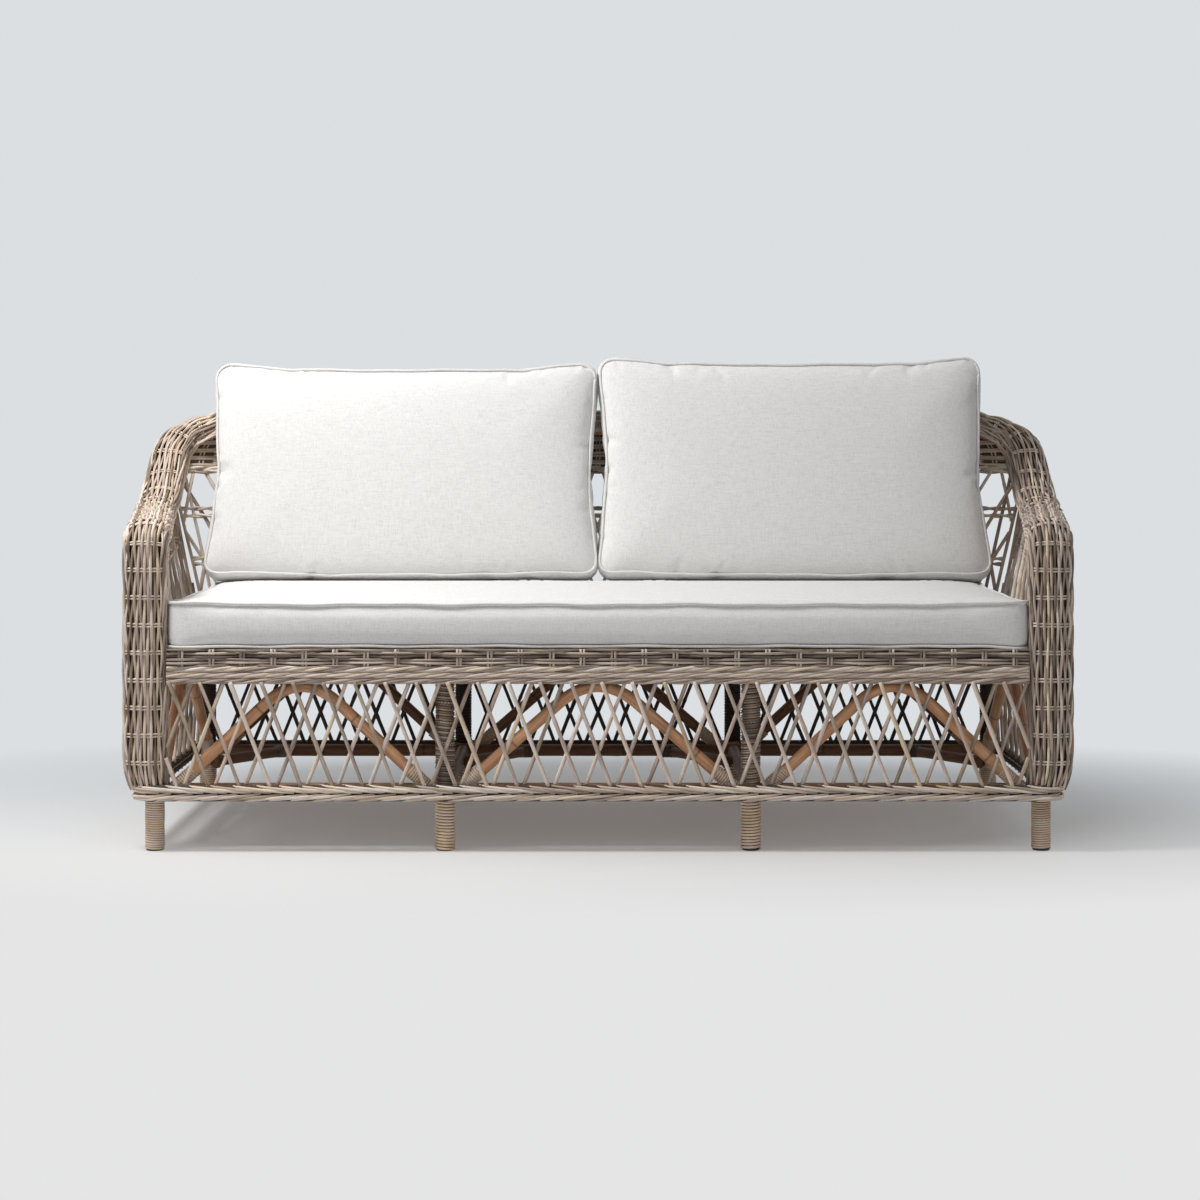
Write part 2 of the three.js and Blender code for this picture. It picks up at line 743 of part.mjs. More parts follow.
// A boxed cushion lying flat: crowned faces, and a bead of piping round both edges.
function cushion(sizes) {
  const { edge, crown, under, bead } = sizes;
  const outline = cushionOutline(sizes);
  const half = edge / 2;
  const crownShares = [0.3, 0.62, 0.86];
  const face = (side, rise) =>
    crownShares.map((share) => ({ share, reach: 0, z: side * (half + rise * (1 - share ** 3)) }));
  const piping = (side) => [
    { share: 1, reach: -bead, z: side * half },
    { share: 1, reach: bead * pipingShare, z: side * (half - bead / 2) },
    { share: 1, reach: -bead * pipingShare, z: side * (half - bead * 2) },
  ];
  const levels = [...face(-1, under), ...piping(-1), ...piping(1).reverse(), ...face(1, crown).reverse()];
  const points = levels.flatMap(({ share, reach, z }) =>
    outline.map(({ spot, out }) => at(spot.x * share + out.x * reach, spot.y * share + out.y * reach, z)),
  );
  const count = outline.length;
  const bottom = points.length;
  points.push(at(0, 0, -half - under), at(0, 0, half + crown));
  const faces = [];
  for (let i = 0; i < count; i += 1) {
    const j = (i + 1) % count;
    faces.push([bottom, j, i]);
    for (let level = 0; level + 1 < levels.length; level += 1) {
      const here = level * count;
      const next = here + count;
      faces.push([here + i, here + j, next + j], [here + i, next + j, next + i]);
    }
    const top = (levels.length - 1) * count;
    faces.push([bottom + 1, top + i, top + j]);
  }
  return closedMesh(points, faces);
}

function addCushions() {
  const frontY = frontInnerY - weaveThickness + seatFrontInset;
  const seatWidth = 2 * (bandInnerX - seatSideRoom);
  const seatDepth = backLegY - legRadius - seatBackRoom - frontY;
  const seat = add("seat_cushion", cushion({ ...seatCushion, width: seatWidth, depth: seatDepth }), linen);
  const seatBase = apronTopZ + touchGap + seatCushion.edge / 2 + seatCushion.under;
  seat.position.set(0, frontY + seatDepth / 2, seatBase);
  const seatTop = seatBase + seatCushion.edge / 2 + seatCushion.crown;
  const width = (seatWidth + 2 * backCushionOverhang - cushionMiddleGap) / 2;
  const backY = topY - bandWidth / 2 - backCushionStand;
  for (const [side, name] of sides) {
    const depth = backCushionDepths[name];
    const mesh = add(`${name}_back_cushion`, cushion({ ...backCushion, width, depth }), linen);
    const foot = seatTop - backCushionSink;
    mesh.rotation.x = Math.PI / 2 - backCushionLean;
    mesh.position.set(
      side * (width + cushionMiddleGap) / 2,
      backY + (depth / 2) * Math.sin(backCushionLean),
      foot + (depth / 2) * Math.cos(backCushionLean),
    );
  }
}

addLegs();
addWindings();
addRails();
addArches();
addBraid();
addAprons();
addLowerLattices();
addBackLattice();
addArmLattices();
addBands();
addDeck();
addCushions();
sofa.position.y = -(frontmostY + rearmostY) / 2;

export default sofa;
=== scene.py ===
# A three-seat rattan garden sofa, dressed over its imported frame.
# Metres, +Z up. The front faces -Y, and the origin is on the floor under the middle.
import math
import random

import bmesh
import bpy
import numpy as np
from mathutils import Matrix, Vector
from mathutils.bvhtree import BVHTree
from mathutils.kdtree import KDTree


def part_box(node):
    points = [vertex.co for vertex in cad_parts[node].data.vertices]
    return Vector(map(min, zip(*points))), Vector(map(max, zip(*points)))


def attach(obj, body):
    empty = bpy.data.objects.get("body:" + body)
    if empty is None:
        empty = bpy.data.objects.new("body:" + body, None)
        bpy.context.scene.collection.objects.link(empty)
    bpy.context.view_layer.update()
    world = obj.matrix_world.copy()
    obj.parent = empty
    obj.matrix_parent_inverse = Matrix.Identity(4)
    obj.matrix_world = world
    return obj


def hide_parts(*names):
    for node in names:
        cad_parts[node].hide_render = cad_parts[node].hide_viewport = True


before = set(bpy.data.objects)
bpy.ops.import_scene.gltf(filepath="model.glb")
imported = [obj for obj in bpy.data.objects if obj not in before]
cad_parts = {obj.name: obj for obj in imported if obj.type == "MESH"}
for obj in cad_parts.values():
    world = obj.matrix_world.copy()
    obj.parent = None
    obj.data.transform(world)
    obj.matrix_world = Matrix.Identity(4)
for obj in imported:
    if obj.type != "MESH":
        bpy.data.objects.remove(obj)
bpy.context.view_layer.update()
luck = random.Random(11)

# Plan and levels of the frame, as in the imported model
row_shift = 0.00115
corner_leg_x = 0.864
middle_leg_x = 0.298
front_row_y = -0.379
back_row_y = 0.303
front_leg_y = front_row_y + row_shift
back_leg_y = back_row_y + row_shift
leg_radius = 0.016
rail_radius = 0.013
arch_radius = 0.0115
brace_radius = 0.011
gap = 0.0003
braid_bottom_z = 0.097
braid_top_z = 0.131
apron_bottom_z = 0.326
apron_top_z = 0.394
deck_thickness = 0.008
weave_thickness = 0.0154
braid_thickness = 0.024
front_inner_y = front_leg_y - leg_radius - gap
back_inner_y = back_leg_y + leg_radius + gap
side_inner_x = corner_leg_x + leg_radius + gap
frame_depth = back_leg_y - front_leg_y
rail_inset = leg_radius * math.cos(math.pi / 6) + gap + rail_radius
side_rail_x = corner_leg_x - leg_radius - gap - rail_radius
front_rail_y = front_leg_y + rail_inset
back_rail_y = back_leg_y - rail_inset
bottom_rail_z = (braid_bottom_z + braid_top_z) / 2
seat_rail_z = apron_top_z - deck_thickness - rail_radius - gap

# The woven band over the arms and along the top
band_width = 0.082
band_wall = 0.007
band_skin = 0.003
band_depth = 0.044
band_rise = 0.022
band_pole_drop = 0.037
band_inner_x = corner_leg_x - leg_radius - gap - band_wall
band_x = band_inner_x + band_width / 2
band_front_y = front_leg_y - band_pole_drop
pole_side_shift = band_x - corner_leg_x
arm_rise = 0.253
arm_top_z = apron_top_z + arm_rise
arm_bend_radius = 0.065
foot_pinch = 0.15
foot_pinch_length = 0.070
foot_shift = 0.008
foot_sink = 0.007
foot_extra = 0.012
top_inset = 0.012
top_setback = 0.073
top_rise = 0.215
top_x = corner_leg_x - top_inset
top_y = back_leg_y + top_setback
top_z = arm_top_z + top_rise
woven_back_height = 0.130
woven_back_bottom_z = top_z - woven_back_height
low_twist_rise = 0.127
low_twist_height = 0.014
low_twist_z = apron_top_z + low_twist_rise
high_twist_rise = 0.242
high_twist_z = apron_top_z + high_twist_rise
sides = [(-1, "left"), (1, "right")]
mirrors = {side: np.array([side, 1, 1]) for side in (-1, 1)}
X_AXIS, Y_AXIS, Z_AXIS = np.eye(3)


class Nodes:
    """The nodes of one material or world: each method adds a node and gives what comes out of it."""

    def __init__(self, tree):
        self.tree = tree

    def add(self, kind):
        return self.tree.nodes.new("ShaderNode" + kind)

    def feed(self, socket, value):
        """Links an output to the socket, or sets a number or a colour on it."""
        if isinstance(value, (int, float)):
            socket.default_value = value
        elif isinstance(value, tuple):
            socket.default_value = (*value, 1)
        else:
            self.tree.links.new(value, socket)

    def maths(self, operation, a, b):
        node = self.add("Math")
        node.operation = operation
        self.feed(node.inputs[0], a)
        self.feed(node.inputs[1], b)
        return node.outputs["Value"]

    def plus(self, a, b):
        return self.maths("ADD", a, b)

    def times(self, a, b):
        return self.maths("MULTIPLY", a, b)

    def mixed(self, a, b, factor=1.0, kind="MULTIPLY"):
        node = self.add("Mix")
        node.data_type = "RGBA"
        node.blend_type = kind
        for name, value in (("Factor", factor), ("A", a), ("B", b)):
            self.feed(node.inputs[name], value)
        return node.outputs["Result"]

    def ramp(self, source, stops):
        node = self.add("ValToRGB")
        marks = node.color_ramp.elements
        for mark, (position, colour) in zip(marks, (stops[0], stops[-1])):
            mark.position = position
            mark.color = (*colour, 1)
        for position, colour in stops[1:-1]:
            marks.new(position).color = (*colour, 1)
        self.feed(node.inputs["Fac"], source)
        return node.outputs["Color"]

    def noise(self, vector, stretch, scale, detail):
        """Noise drawn out by its own factor along each axis."""
        mapping = self.add("Mapping")
        mapping.inputs["Scale"].default_value = stretch
        self.feed(mapping.inputs["Vector"], vector)
        node = self.add("TexNoise")
        node.inputs["Scale"].default_value = scale
        node.inputs["Detail"].default_value = detail
        self.feed(node.inputs["Vector"], mapping.outputs["Vector"])
        return node.outputs["Fac"]

    def split(self, vector):
        node = self.add("SeparateXYZ")
        self.feed(node.inputs["Vector"], vector)
        return node.outputs

    def coordinate(self, kind):
        return self.add("TexCoord").outputs[kind]

    def flow(self):
        """The strand's own coordinates, and out of them the metres along it and its tone."""
        node = self.add("Attribute")
        node.attribute_name = "flow"
        parts = self.split(node.outputs["Vector"])
        return node.outputs["Vector"], parts["X"], parts["Z"]

    def surface(self, shader, colour, height, strength, relief=0.0006):
        """Gives the shader its colour and a fine relief."""
        self.feed(shader.inputs["Base Color"], colour)
        bump = self.add("Bump")
        bump.inputs["Strength"].default_value = strength
        bump.inputs["Distance"].default_value = relief
        self.feed(bump.inputs["Height"], height)
        self.feed(shader.inputs["Normal"], bump.outputs["Normal"])

    def blended(self, share, first, second, output):
        """Sends a mix of two shaders to the output."""
        mix = self.add("MixShader")
        self.feed(mix.inputs["Fac"], share)
        self.feed(mix.inputs[1], first.outputs[0])
        self.feed(mix.inputs[2], second.outputs[0])
        self.feed(output.inputs["Surface"], mix.outputs[0])


def new_material(name, roughness):
    material = bpy.data.materials.new(name)
    material.use_nodes = True
    shader = material.node_tree.nodes["Principled BSDF"]
    shader.inputs["Roughness"].default_value = roughness
    return material, Nodes(material.node_tree), shader


def grey(level):
    return (level, level, level)


def strand_material(name, stops, streak=0.5, inner=1.0):
    """Peeled willow or cane: each strand in its own tone, with streaks along it and grey wear."""
    material, nodes, shader = new_material(name, 0.72)
    flow, _, tone = nodes.flow()
    streaks = nodes.noise(flow, (9, 5, 40), 6, 4)
    patches = nodes.noise(flow, (5, 0.6, 30), 3, 2)
    shift = nodes.times(nodes.maths("SUBTRACT", patches, 0.5), 0.9)
    colour = nodes.ramp(nodes.plus(tone, shift), stops)
    tints = [(0.0, (1.0, 0.94, 0.80)), (0.35, grey(1)), (0.7, (0.98, 0.97, 1.02)), (1.0, (1.04, 0.96, 0.93))]
    colour = nodes.mixed(colour, nodes.ramp(nodes.maths("FRACT", nodes.times(tone, 17.3), 0.0), tints))
    colour = nodes.mixed(colour, nodes.ramp(streaks, [(0.3, grey(1 - streak)), (0.62, grey(1))]))
    specks = nodes.noise(flow, (60, 4, 70), 3, 2)
    speck_share = nodes.ramp(specks, [(0.66, grey(0)), (0.74, grey(1))])
    colour = nodes.mixed(colour, (0.05, 0.035, 0.025), nodes.times(speck_share, 0.5), "MIX")
    # Where inner is below one, every side but the one that faces back is darkened: painted shade.
    nodes.surface(shader, painted_inner_shade(nodes, colour, inner), streaks, 0.5)
    return material


def painted_inner_shade(nodes, colour, share):
    """Painted shade: pieces at the back are darkened by the share on every side but the one that faces back,
    out of the sofa, and fade to their own colour there.
    """
    if share == 1:
        return colour
    facing = nodes.split(nodes.coordinate("Normal"))["Y"]
    shade = nodes.ramp(facing, [(0.35, (share, share * 0.9, share * 0.82)), (0.8, grey(1))])
    return nodes.mixed(colour, shade)


knuckle_apart = 0.22
arch_knuckle_apart = 0.31
knuckle_ring = 0.0022
knuckle_shift = 0.2
linen_relief = 0.0008


def pole_material(name, stops, roughness=0.42, inner=1.0):
    """Rattan pole: warm skin with long streaks, pale scuffs and a dark ring at each knuckle."""
    material, nodes, shader = new_material(name, roughness)
    flow, along, tone = nodes.flow()
    streaks = nodes.noise(flow, (2.5, 6, 20), 5, 4)
    patches = nodes.noise(flow, (4, 1.2, 20), 3, 3)
    level = nodes.plus(nodes.times(streaks, 0.55), nodes.times(patches, 0.45))
    place = nodes.plus(along, nodes.times(tone, knuckle_shift))
    ring = nodes.maths("PINGPONG", place, knuckle_apart / 2)
    ring_share = nodes.ramp(ring, [(0.0, grey(1)), (knuckle_ring, grey(0))])
    colour = nodes.mixed(nodes.ramp(level, stops), (0.06, 0.03, 0.015), nodes.times(ring_share, 0.65), "MIX")
    # Where inner is below one, every side but the one that faces back is darkened: painted shade.
    nodes.surface(shader, painted_inner_shade(nodes, colour, inner), streaks, 0.25)
    return material


def linen_material(name, tint):
    """Linen: fine crossing threads with thick slubs, in the panel's own directions."""
    material, nodes, shader = new_material(name, 0.9)
    place = nodes.coordinate("Object")
    runs = [nodes.noise(place, stretch, 1, 3) for stretch in ((45, 420, 620), (620, 420, 45), (420, 45, 620))]
    threads = nodes.maths("DIVIDE", nodes.plus(nodes.plus(runs[0], runs[1]), runs[2]), 3)
    fine = [nodes.noise(place, stretch, 1, 2) for stretch in ((240, 1500, 1500), (1500, 1500, 240))]
    level = nodes.plus(nodes.times(threads, 0.7), nodes.times(nodes.times(nodes.plus(*fine), 0.5), 0.3))
    low = tuple(c * 0.80 for c in tint)
    high = tuple(min(c * 1.10, 1) for c in tint)
    colour = nodes.ramp(level, [(0.38, low), (0.5, tint), (0.62, high)])
    shader.inputs["Sheen Weight"].default_value = 0.15
    nodes.surface(shader, colour, level, 0.35, relief=linen_relief)
    return material


wicker = strand_material("wicker", [
    (0.0, (0.110, 0.082, 0.062)),
    (0.25, (0.319, 0.251, 0.202)),
    (0.5, (0.600, 0.494, 0.410)),
    (0.75, (0.856, 0.725, 0.614)),
    (1.0, (0.950, 0.860, 0.755)),
], streak=0.42)
# Near-black strands laid behind the weaves and round the poles under the windings: their dark colour is
# painted shade in the gaps.
painted_shade_lining = strand_material("painted_shade_lining", [
    (0.0, (0.045, 0.032, 0.024)),
    (0.5, (0.105, 0.076, 0.056)),
    (1.0, (0.200, 0.150, 0.112)),
])
# A darker copy of the wicker for the lower lattice at the back: painted shade, darker still on every side but
# the one that faces back.
painted_shade_wicker = strand_material("painted_shade_wicker", [
    (0.0, (0.120, 0.092, 0.072)),
    (0.5, (0.330, 0.265, 0.215)),
    (1.0, (0.560, 0.460, 0.370)),
], inner=0.27)
cane = strand_material("cane", [
    (0.0, (0.560, 0.410, 0.300)),
    (0.5, (0.900, 0.710, 0.540)),
    (1.0, (0.960, 0.830, 0.680)),
], streak=0.4)
dark_cane = strand_material("dark_cane", [
    (0.0, (0.070, 0.050, 0.038)),
    (0.5, (0.230, 0.172, 0.130)),
    (1.0, (0.520, 0.415, 0.330)),
])
# A darker copy of the cane for the bindings on the back legs: painted shade, darker still on every side but
# the one that faces back.
painted_shade_cane = strand_material("painted_shade_cane", [
    (0.0, (0.120, 0.088, 0.066)),
    (0.5, (0.300, 0.230, 0.176)),
    (1.0, (0.520, 0.415, 0.330)),
], inner=0.16)
rattan = pole_material("rattan", [
    (0.30, (0.300, 0.118, 0.045)),
    (0.48, (0.640, 0.330, 0.165)),
    (0.62, (0.830, 0.485, 0.280)),
    (0.72, (0.890, 0.600, 0.405)),
])
# A darker copy of the rattan for the back rails, stretchers, knee braces and back arches: painted shade,
# darker still on every side but the one that faces back.
painted_shade_rattan = pole_material("painted_shade_rattan", [
    (0.30, (0.200, 0.086, 0.036)),
    (0.48, (0.380, 0.190, 0.095)),
    (0.62, (0.520, 0.290, 0.160)),
    (0.72, (0.600, 0.370, 0.230)),
], roughness=0.58, inner=0.46)
linen = linen_material("linen", (0.80, 0.795, 0.785))
piping_linen = linen_material("piping_linen", (0.76, 0.755, 0.74))
rubber, _, rubber_shader = new_material("rubber", 0.6)
rubber_shader.inputs["Base Color"].default_value = (0.03, 0.028, 0.026, 1)


# Strands
tiny = 1e-9
no_gap = 1e-3
nudge = 0.001
share_step = 0.002
stake_jitter = 0.0004
drift_turns = 23
rope_wave = 0.0004
rope_turns = 31
winding_wave = 0.0003
winding_turns = 70
pole_step = 0.006
knuckle_half = 0.006
knuckle_rise = 0.035


def jitter(reach):
    """A random step either way."""
    return luck.uniform(-reach, reach)


def unit(rows):
    return rows / np.maximum(np.linalg.norm(rows, axis=-1, keepdims=True), tiny)


def square_to(tangent, rows):
    """Directions turned square to a line."""
    return unit(rows - (rows * tangent).sum(1, keepdims=True) * tangent)


def lengths_along(route):
    return np.concatenate([[0.0], np.cumsum(np.linalg.norm(np.diff(route, axis=0), axis=1))])


def columns(*parts):
    """Rows from their columns, each a list of numbers or one number for all."""
    return np.stack(np.broadcast_arrays(*parts), 1)


def read_off(at, marks, rows):
    """Rows read off between their marks."""
    return columns(*[np.interp(at, marks, column) for column in np.asarray(rows, float).T])


def placed(name, data):
    """A new object in the scene."""
    made = bpy.data.objects.new(name, data)
    bpy.context.scene.collection.objects.link(made)
    return made


def new_mesh(name, points, faces):
    """A mesh made of these points and faces."""
    mesh = bpy.data.meshes.new(name)
    mesh.from_pydata(points, [], faces)
    return mesh


def ring_faces(at):
    """Four-sided faces between rings of point numbers."""
    beside = np.roll(at, -1, axis=1)
    return np.stack([at[:-1], at[1:], beside[1:], beside[:-1]], -1).reshape(-1, 4).tolist()


class Weave:
    """Strands gathered into one mesh, each with its own tone."""

    def __init__(self, tones=(0.25, 0.85)):
        self.points = []
        self.faces = []
        self.flow = []
        self.count = 0
        self.tones = tones

    def strand(self, route, radius, facing, flat=1.0, sides=6, tone=None):
        route = np.asarray(route, float)
        count = len(route)
        tangent = unit(np.gradient(route, axis=0))
        up = square_to(tangent, np.broadcast_to(np.asarray(facing, float), route.shape))
        across = np.cross(tangent, up)
        turn = np.arange(sides) * 2 * math.pi / sides
        reach = np.broadcast_to(np.asarray(radius, float), (count,))[:, None, None]
        section = np.cos(turn)[None, :, None] * across[:, None, :]
        section = section + flat * np.sin(turn)[None, :, None] * up[:, None, :]
        rings = route[:, None, :] + reach * section
        flow = np.empty((count, sides, 3))
        flow[..., 0] = (lengths_along(route) + luck.random() * 7)[:, None]
        flow[..., 1] = (np.abs(turn - math.pi) / math.pi)[None, :]
        flow[..., 2] = luck.uniform(*self.tones) if tone is None else tone
        at = self.count + np.arange(count * sides).reshape(count, sides)
        self.faces += [*ring_faces(at), at[0].tolist(), at[-1][::-1].tolist()]
        self.points.append(rings.reshape(-1, 3))
        self.flow.append(flow.reshape(-1, 3))
        self.count += count * sides

    def lay(self, place, x, z, depth, radius, **look):
        """A strand over a woven surface, facing out of it."""
        z = z + 0 * x
        depth = depth + 0 * x
        here = place(x, z, depth)
        self.strand(here, radius, place(x, z, depth + nudge) - here, **look)

    def make(self, name, material, *nodes, body="frame", slot="wicker"):
        mesh = new_mesh(name, np.concatenate(self.points).tolist(), self.faces)
        flow = mesh.attributes.new("flow", "FLOAT_VECTOR", "POINT")
        flow.data.foreach_set("vector", np.concatenate(self.flow).astype(np.float32).ravel())
        mesh.shade_smooth()
        mesh.materials.append(material)
        piece = placed(name, mesh)
        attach(piece, body)
        if nodes:
            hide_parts(*nodes)


def stake_pairs(weave, place, spots, low, high, apart, radius):
    """Upright stakes in pairs at these spots along a surface."""
    z = np.linspace(low, high, 10)
    for spot in spots:
        for side in (-1, 1):
            x = spot + side * apart / 2 + jitter(stake_jitter)
            weave.lay(place, x + 0 * z, z, 0.0, radius, sides=5)


def weaver(weave, place, z, start, end, pitch, first, reach, radius, row=0, flat=0.8, sides=6, drift=0.0006,
           per_pitch=8, depth=0.0, sway=0.0, tone=None):
    """One strand that goes in front of one stake and behind the next; odd rows the other way."""
    steps = int((end - start) / pitch * per_pitch)
    x = np.linspace(start, end, steps)
    wobble = luck.uniform(0, 6.3)
    knots = steps // 9 + 2
    wander = np.interp(x, np.linspace(start, end, knots), [jitter(sway) for _ in range(knots)])
    height = z + drift * np.sin(x * drift_turns + wobble) + wander
    out = depth + reach * np.cos((x - first) / pitch * math.pi + math.pi * (row % 2))
    weave.lay(place, x, height, out, radius, flat=flat, sides=sides, tone=tone)


def rope(weave, place, z, start, end, turn_length, rise, depth, radius, count=2, turned=1, per_turn=20,
         middle=0.0):
    """Strands twisted about each other along a surface."""
    steps = int((end - start) / turn_length * per_turn)
    x = np.linspace(start, end, steps)
    for i in range(count):
        angle = (x / turn_length + i / count) * 2 * math.pi * turned
        height = z + rise * np.cos(angle) + rope_wave * np.sin(x * rope_turns + luck.uniform(0, 6.3))
        weave.lay(place, x, height, middle + depth * np.sin(angle), radius)


def winding(weave, route, pole_radius, radius, pitch, per_turn=12, sides=6, flat=0.7, start=X_AXIS, turned=1):
    """A strand wound round a pole, turn beside turn."""
    along = lengths_along(np.asarray(route, float))
    s = np.linspace(0, along[-1], int(along[-1] / pitch * per_turn))
    middle = read_off(s, along, route)
    tangent = unit(np.gradient(middle, axis=0))
    first = square_to(tangent, np.broadcast_to(start, middle.shape))
    angle = s / pitch * 2 * math.pi * turned
    wave = winding_wave * np.sin(s * winding_turns + luck.uniform(0, 6))
    swell = pole_radius + radius * flat * 0.8 + wave
    out = np.cos(angle)[:, None] * first + np.sin(angle)[:, None] * np.cross(tangent, first)
    weave.strand(middle + swell[:, None] * out, radius, out, flat=flat, sides=sides)


def pole(node, route, radius, material=rattan, facing=Y_AXIS, tone=None, knuckle=knuckle_apart):
    """A smooth rattan pole with low knuckles."""
    tone = luck.random() if tone is None else tone
    along = lengths_along(np.asarray(route, float))
    s = np.linspace(0, along[-1], max(int(along[-1] / pole_step), len(route)))
    away = (s + tone * knuckle_shift) % knuckle - knuckle / 2
    swell = 1 + knuckle_rise * np.exp(-(away / knuckle_half) ** 2)
    weave = Weave()
    weave.strand(read_off(s, along, route), radius * swell, facing, sides=18, tone=tone)
    weave.make(node + "_pole", material, node, slot="rattan")


def spline(points, share):
    """A smooth curve through points, with its knots spaced by the root of the distances."""
    points = np.asarray(points, float)
    first = 2 * points[0] - points[1]
    last = 2 * points[-1] - points[-2]
    padded = np.vstack([first, points, last])
    spans = len(points) - 1
    share = np.atleast_1d(share) * spans
    index = np.clip(np.floor(share).astype(int), 0, spans - 1)
    t = share - index
    p0, p1, p2, p3 = (padded[index + k] for k in range(4))
    pairs = ((p0, p1), (p1, p2), (p2, p3))
    d0, d1, d2 = (np.linalg.norm(b - a, axis=1, keepdims=True) ** 0.5 for a, b in pairs)
    d1 = np.where(d1 < no_gap, 1.0, d1)
    d0 = np.where(d0 < no_gap, d1, d0)
    d2 = np.where(d2 < no_gap, d1, d2)
    m1 = ((p1 - p0) / d0 - (p2 - p0) / (d0 + d1) + (p2 - p1) / d1) * d1
    m2 = ((p2 - p1) / d1 - (p3 - p1) / (d1 + d2) + (p3 - p2) / d2) * d1
    t = t[:, None]
    return p1 + m1 * t + (-3 * p1 + 3 * p2 - 2 * m1 - m2) * t**2 + (2 * p1 - 2 * p2 + m1 + m2) * t**3


# Points of the sweep, counted from the corner leg and the arm's top: out, back and up
sweep_steps = [
    (0.094, -0.153, 0.021), (0.102, -0.058, 0.047), (0.102, -0.003, 0.098),
    (0.093, 0.025, 0.149), (0.062, 0.049, 0.187),
]
sweep_points = [
    (band_x, band_front_y + arm_bend_radius, arm_top_z),
    *[(corner_leg_x + out, back_leg_y + back, arm_top_z + rise) for out, back, rise in sweep_steps],
    (top_x, top_y, top_z),
]
sweep_edges = [
    (1, 0, 0), (1, 0, 0), (0.96, 0.2, 0.05), (0.93, 0.34, 0.1),
    (0.72, 0.55, 0.4), (0.35, 0.88, 0.3), (0, 1, 0),
]


def sweep_frame(share):
    """Crown point, outer edge direction and crown direction at shares of the sweep."""
    point = spline(sweep_points, share)
    ahead = spline(sweep_points, np.minimum(share + share_step, 1.0))
    behind = spline(sweep_points, np.maximum(share - share_step, 0.0))
    tangent = unit(ahead - behind)
    edge = square_to(tangent, spline(sweep_edges, share))
    return point, edge, unit(np.cross(edge, tangent))


def band_frames():
    """The band's whole line: up the front corner, round the bend and along the sweep."""
    bend_y = band_front_y + arm_bend_radius
    bend_z = arm_top_z - arm_bend_radius
    up = columns(band_x, band_front_y, np.linspace(braid_top_z - foot_extra, bend_z, 60))
    angle = np.linspace(0, math.pi / 2, 17)[1:-1]
    bend_crown = columns(0, -np.cos(angle), np.sin(angle))
    bend = np.array([band_x, bend_y, bend_z]) + arm_bend_radius * bend_crown
    point, edge, top = sweep_frame(np.linspace(0, 1, 200))
    points = np.vstack([up, bend, point])
    edges = np.vstack([np.tile(X_AXIS, (len(up) + len(bend), 1)), edge])
    crowns = np.vstack([np.tile(-Y_AXIS, (len(up), 1)), bend_crown, top])
    return lengths_along(points), points, edges, crowns


band_s, band_points, band_edges, band_crowns = band_frames()


def section_line():
    """The band's section at the middle of its wall: length along it, place and way out."""
    half = band_width / 2 - band_skin
    angle = np.linspace(math.pi, 0, 61)
    arch = columns(np.cos(angle) * half, np.sin(angle) * band_rise - band_rise - band_skin)
    wall = np.linspace(-band_depth, -band_rise - band_skin, 12)[:-1]
    line = np.vstack([columns(-half, wall), arch, columns(half, wall[::-1])])
    tangent = unit(np.gradient(line, axis=0))
    return lengths_along(line), line, columns(-tangent[:, 1], tangent[:, 0])


section_u, section_points, section_out = section_line()
section_length = section_u[-1]


def section_at(u, depth):
    """The place on the section at a length along it, and so far out from it."""
    return (read_off(u, section_u, section_points) + read_off(u, section_u, section_out) * depth[:, None]).T


def band_place(side):
    """Puts (s along the band, u across it, depth out) in place on that side."""

    def place(s, u, depth):
        point, edge, top = [read_off(s, band_s, rows) for rows in (band_points, band_edges, band_crowns)]
        out, up = section_at(u, depth)
        foot = np.clip(1 - s / foot_pinch_length, 0, 1) ** 2
        out = out * (1 - foot_pinch * foot) - foot_shift * foot
        up = up - foot_sink * foot
        return (point + edge * out[:, None] + top * up[:, None]) * mirrors[side]

    return place


def roll_place(x, u, depth):
    """Puts (x along the top, u across the roll, depth out) in place."""
    out, up = section_at(u, depth)
    return columns(x, top_y + out, top_z + up)


band_columns = 22
column_pitch = section_length / (band_columns - 1)
stake_step = 0.053
border_over = 0.001
border_u = band_depth - band_rise + border_over
band_look = dict(reach=0.0036, flat=0.9, drift=0.0010, sway=0.0009)
band_lining_look = dict(reach=0.0004, radius=0.0062, flat=0.4, depth=-0.0085, per_pitch=4, sides=5)
border_look = dict(turn_length=0.21, rise=0.0040, depth=0.0026, radius=0.0029, count=3, middle=0.0014)
band_strand_radius = 0.0028
stake_radius = 0.0020
stake_lean = 0.0015
stake_sink = 0.0002
stake_apart = 0.0026
edge_room = 0.004


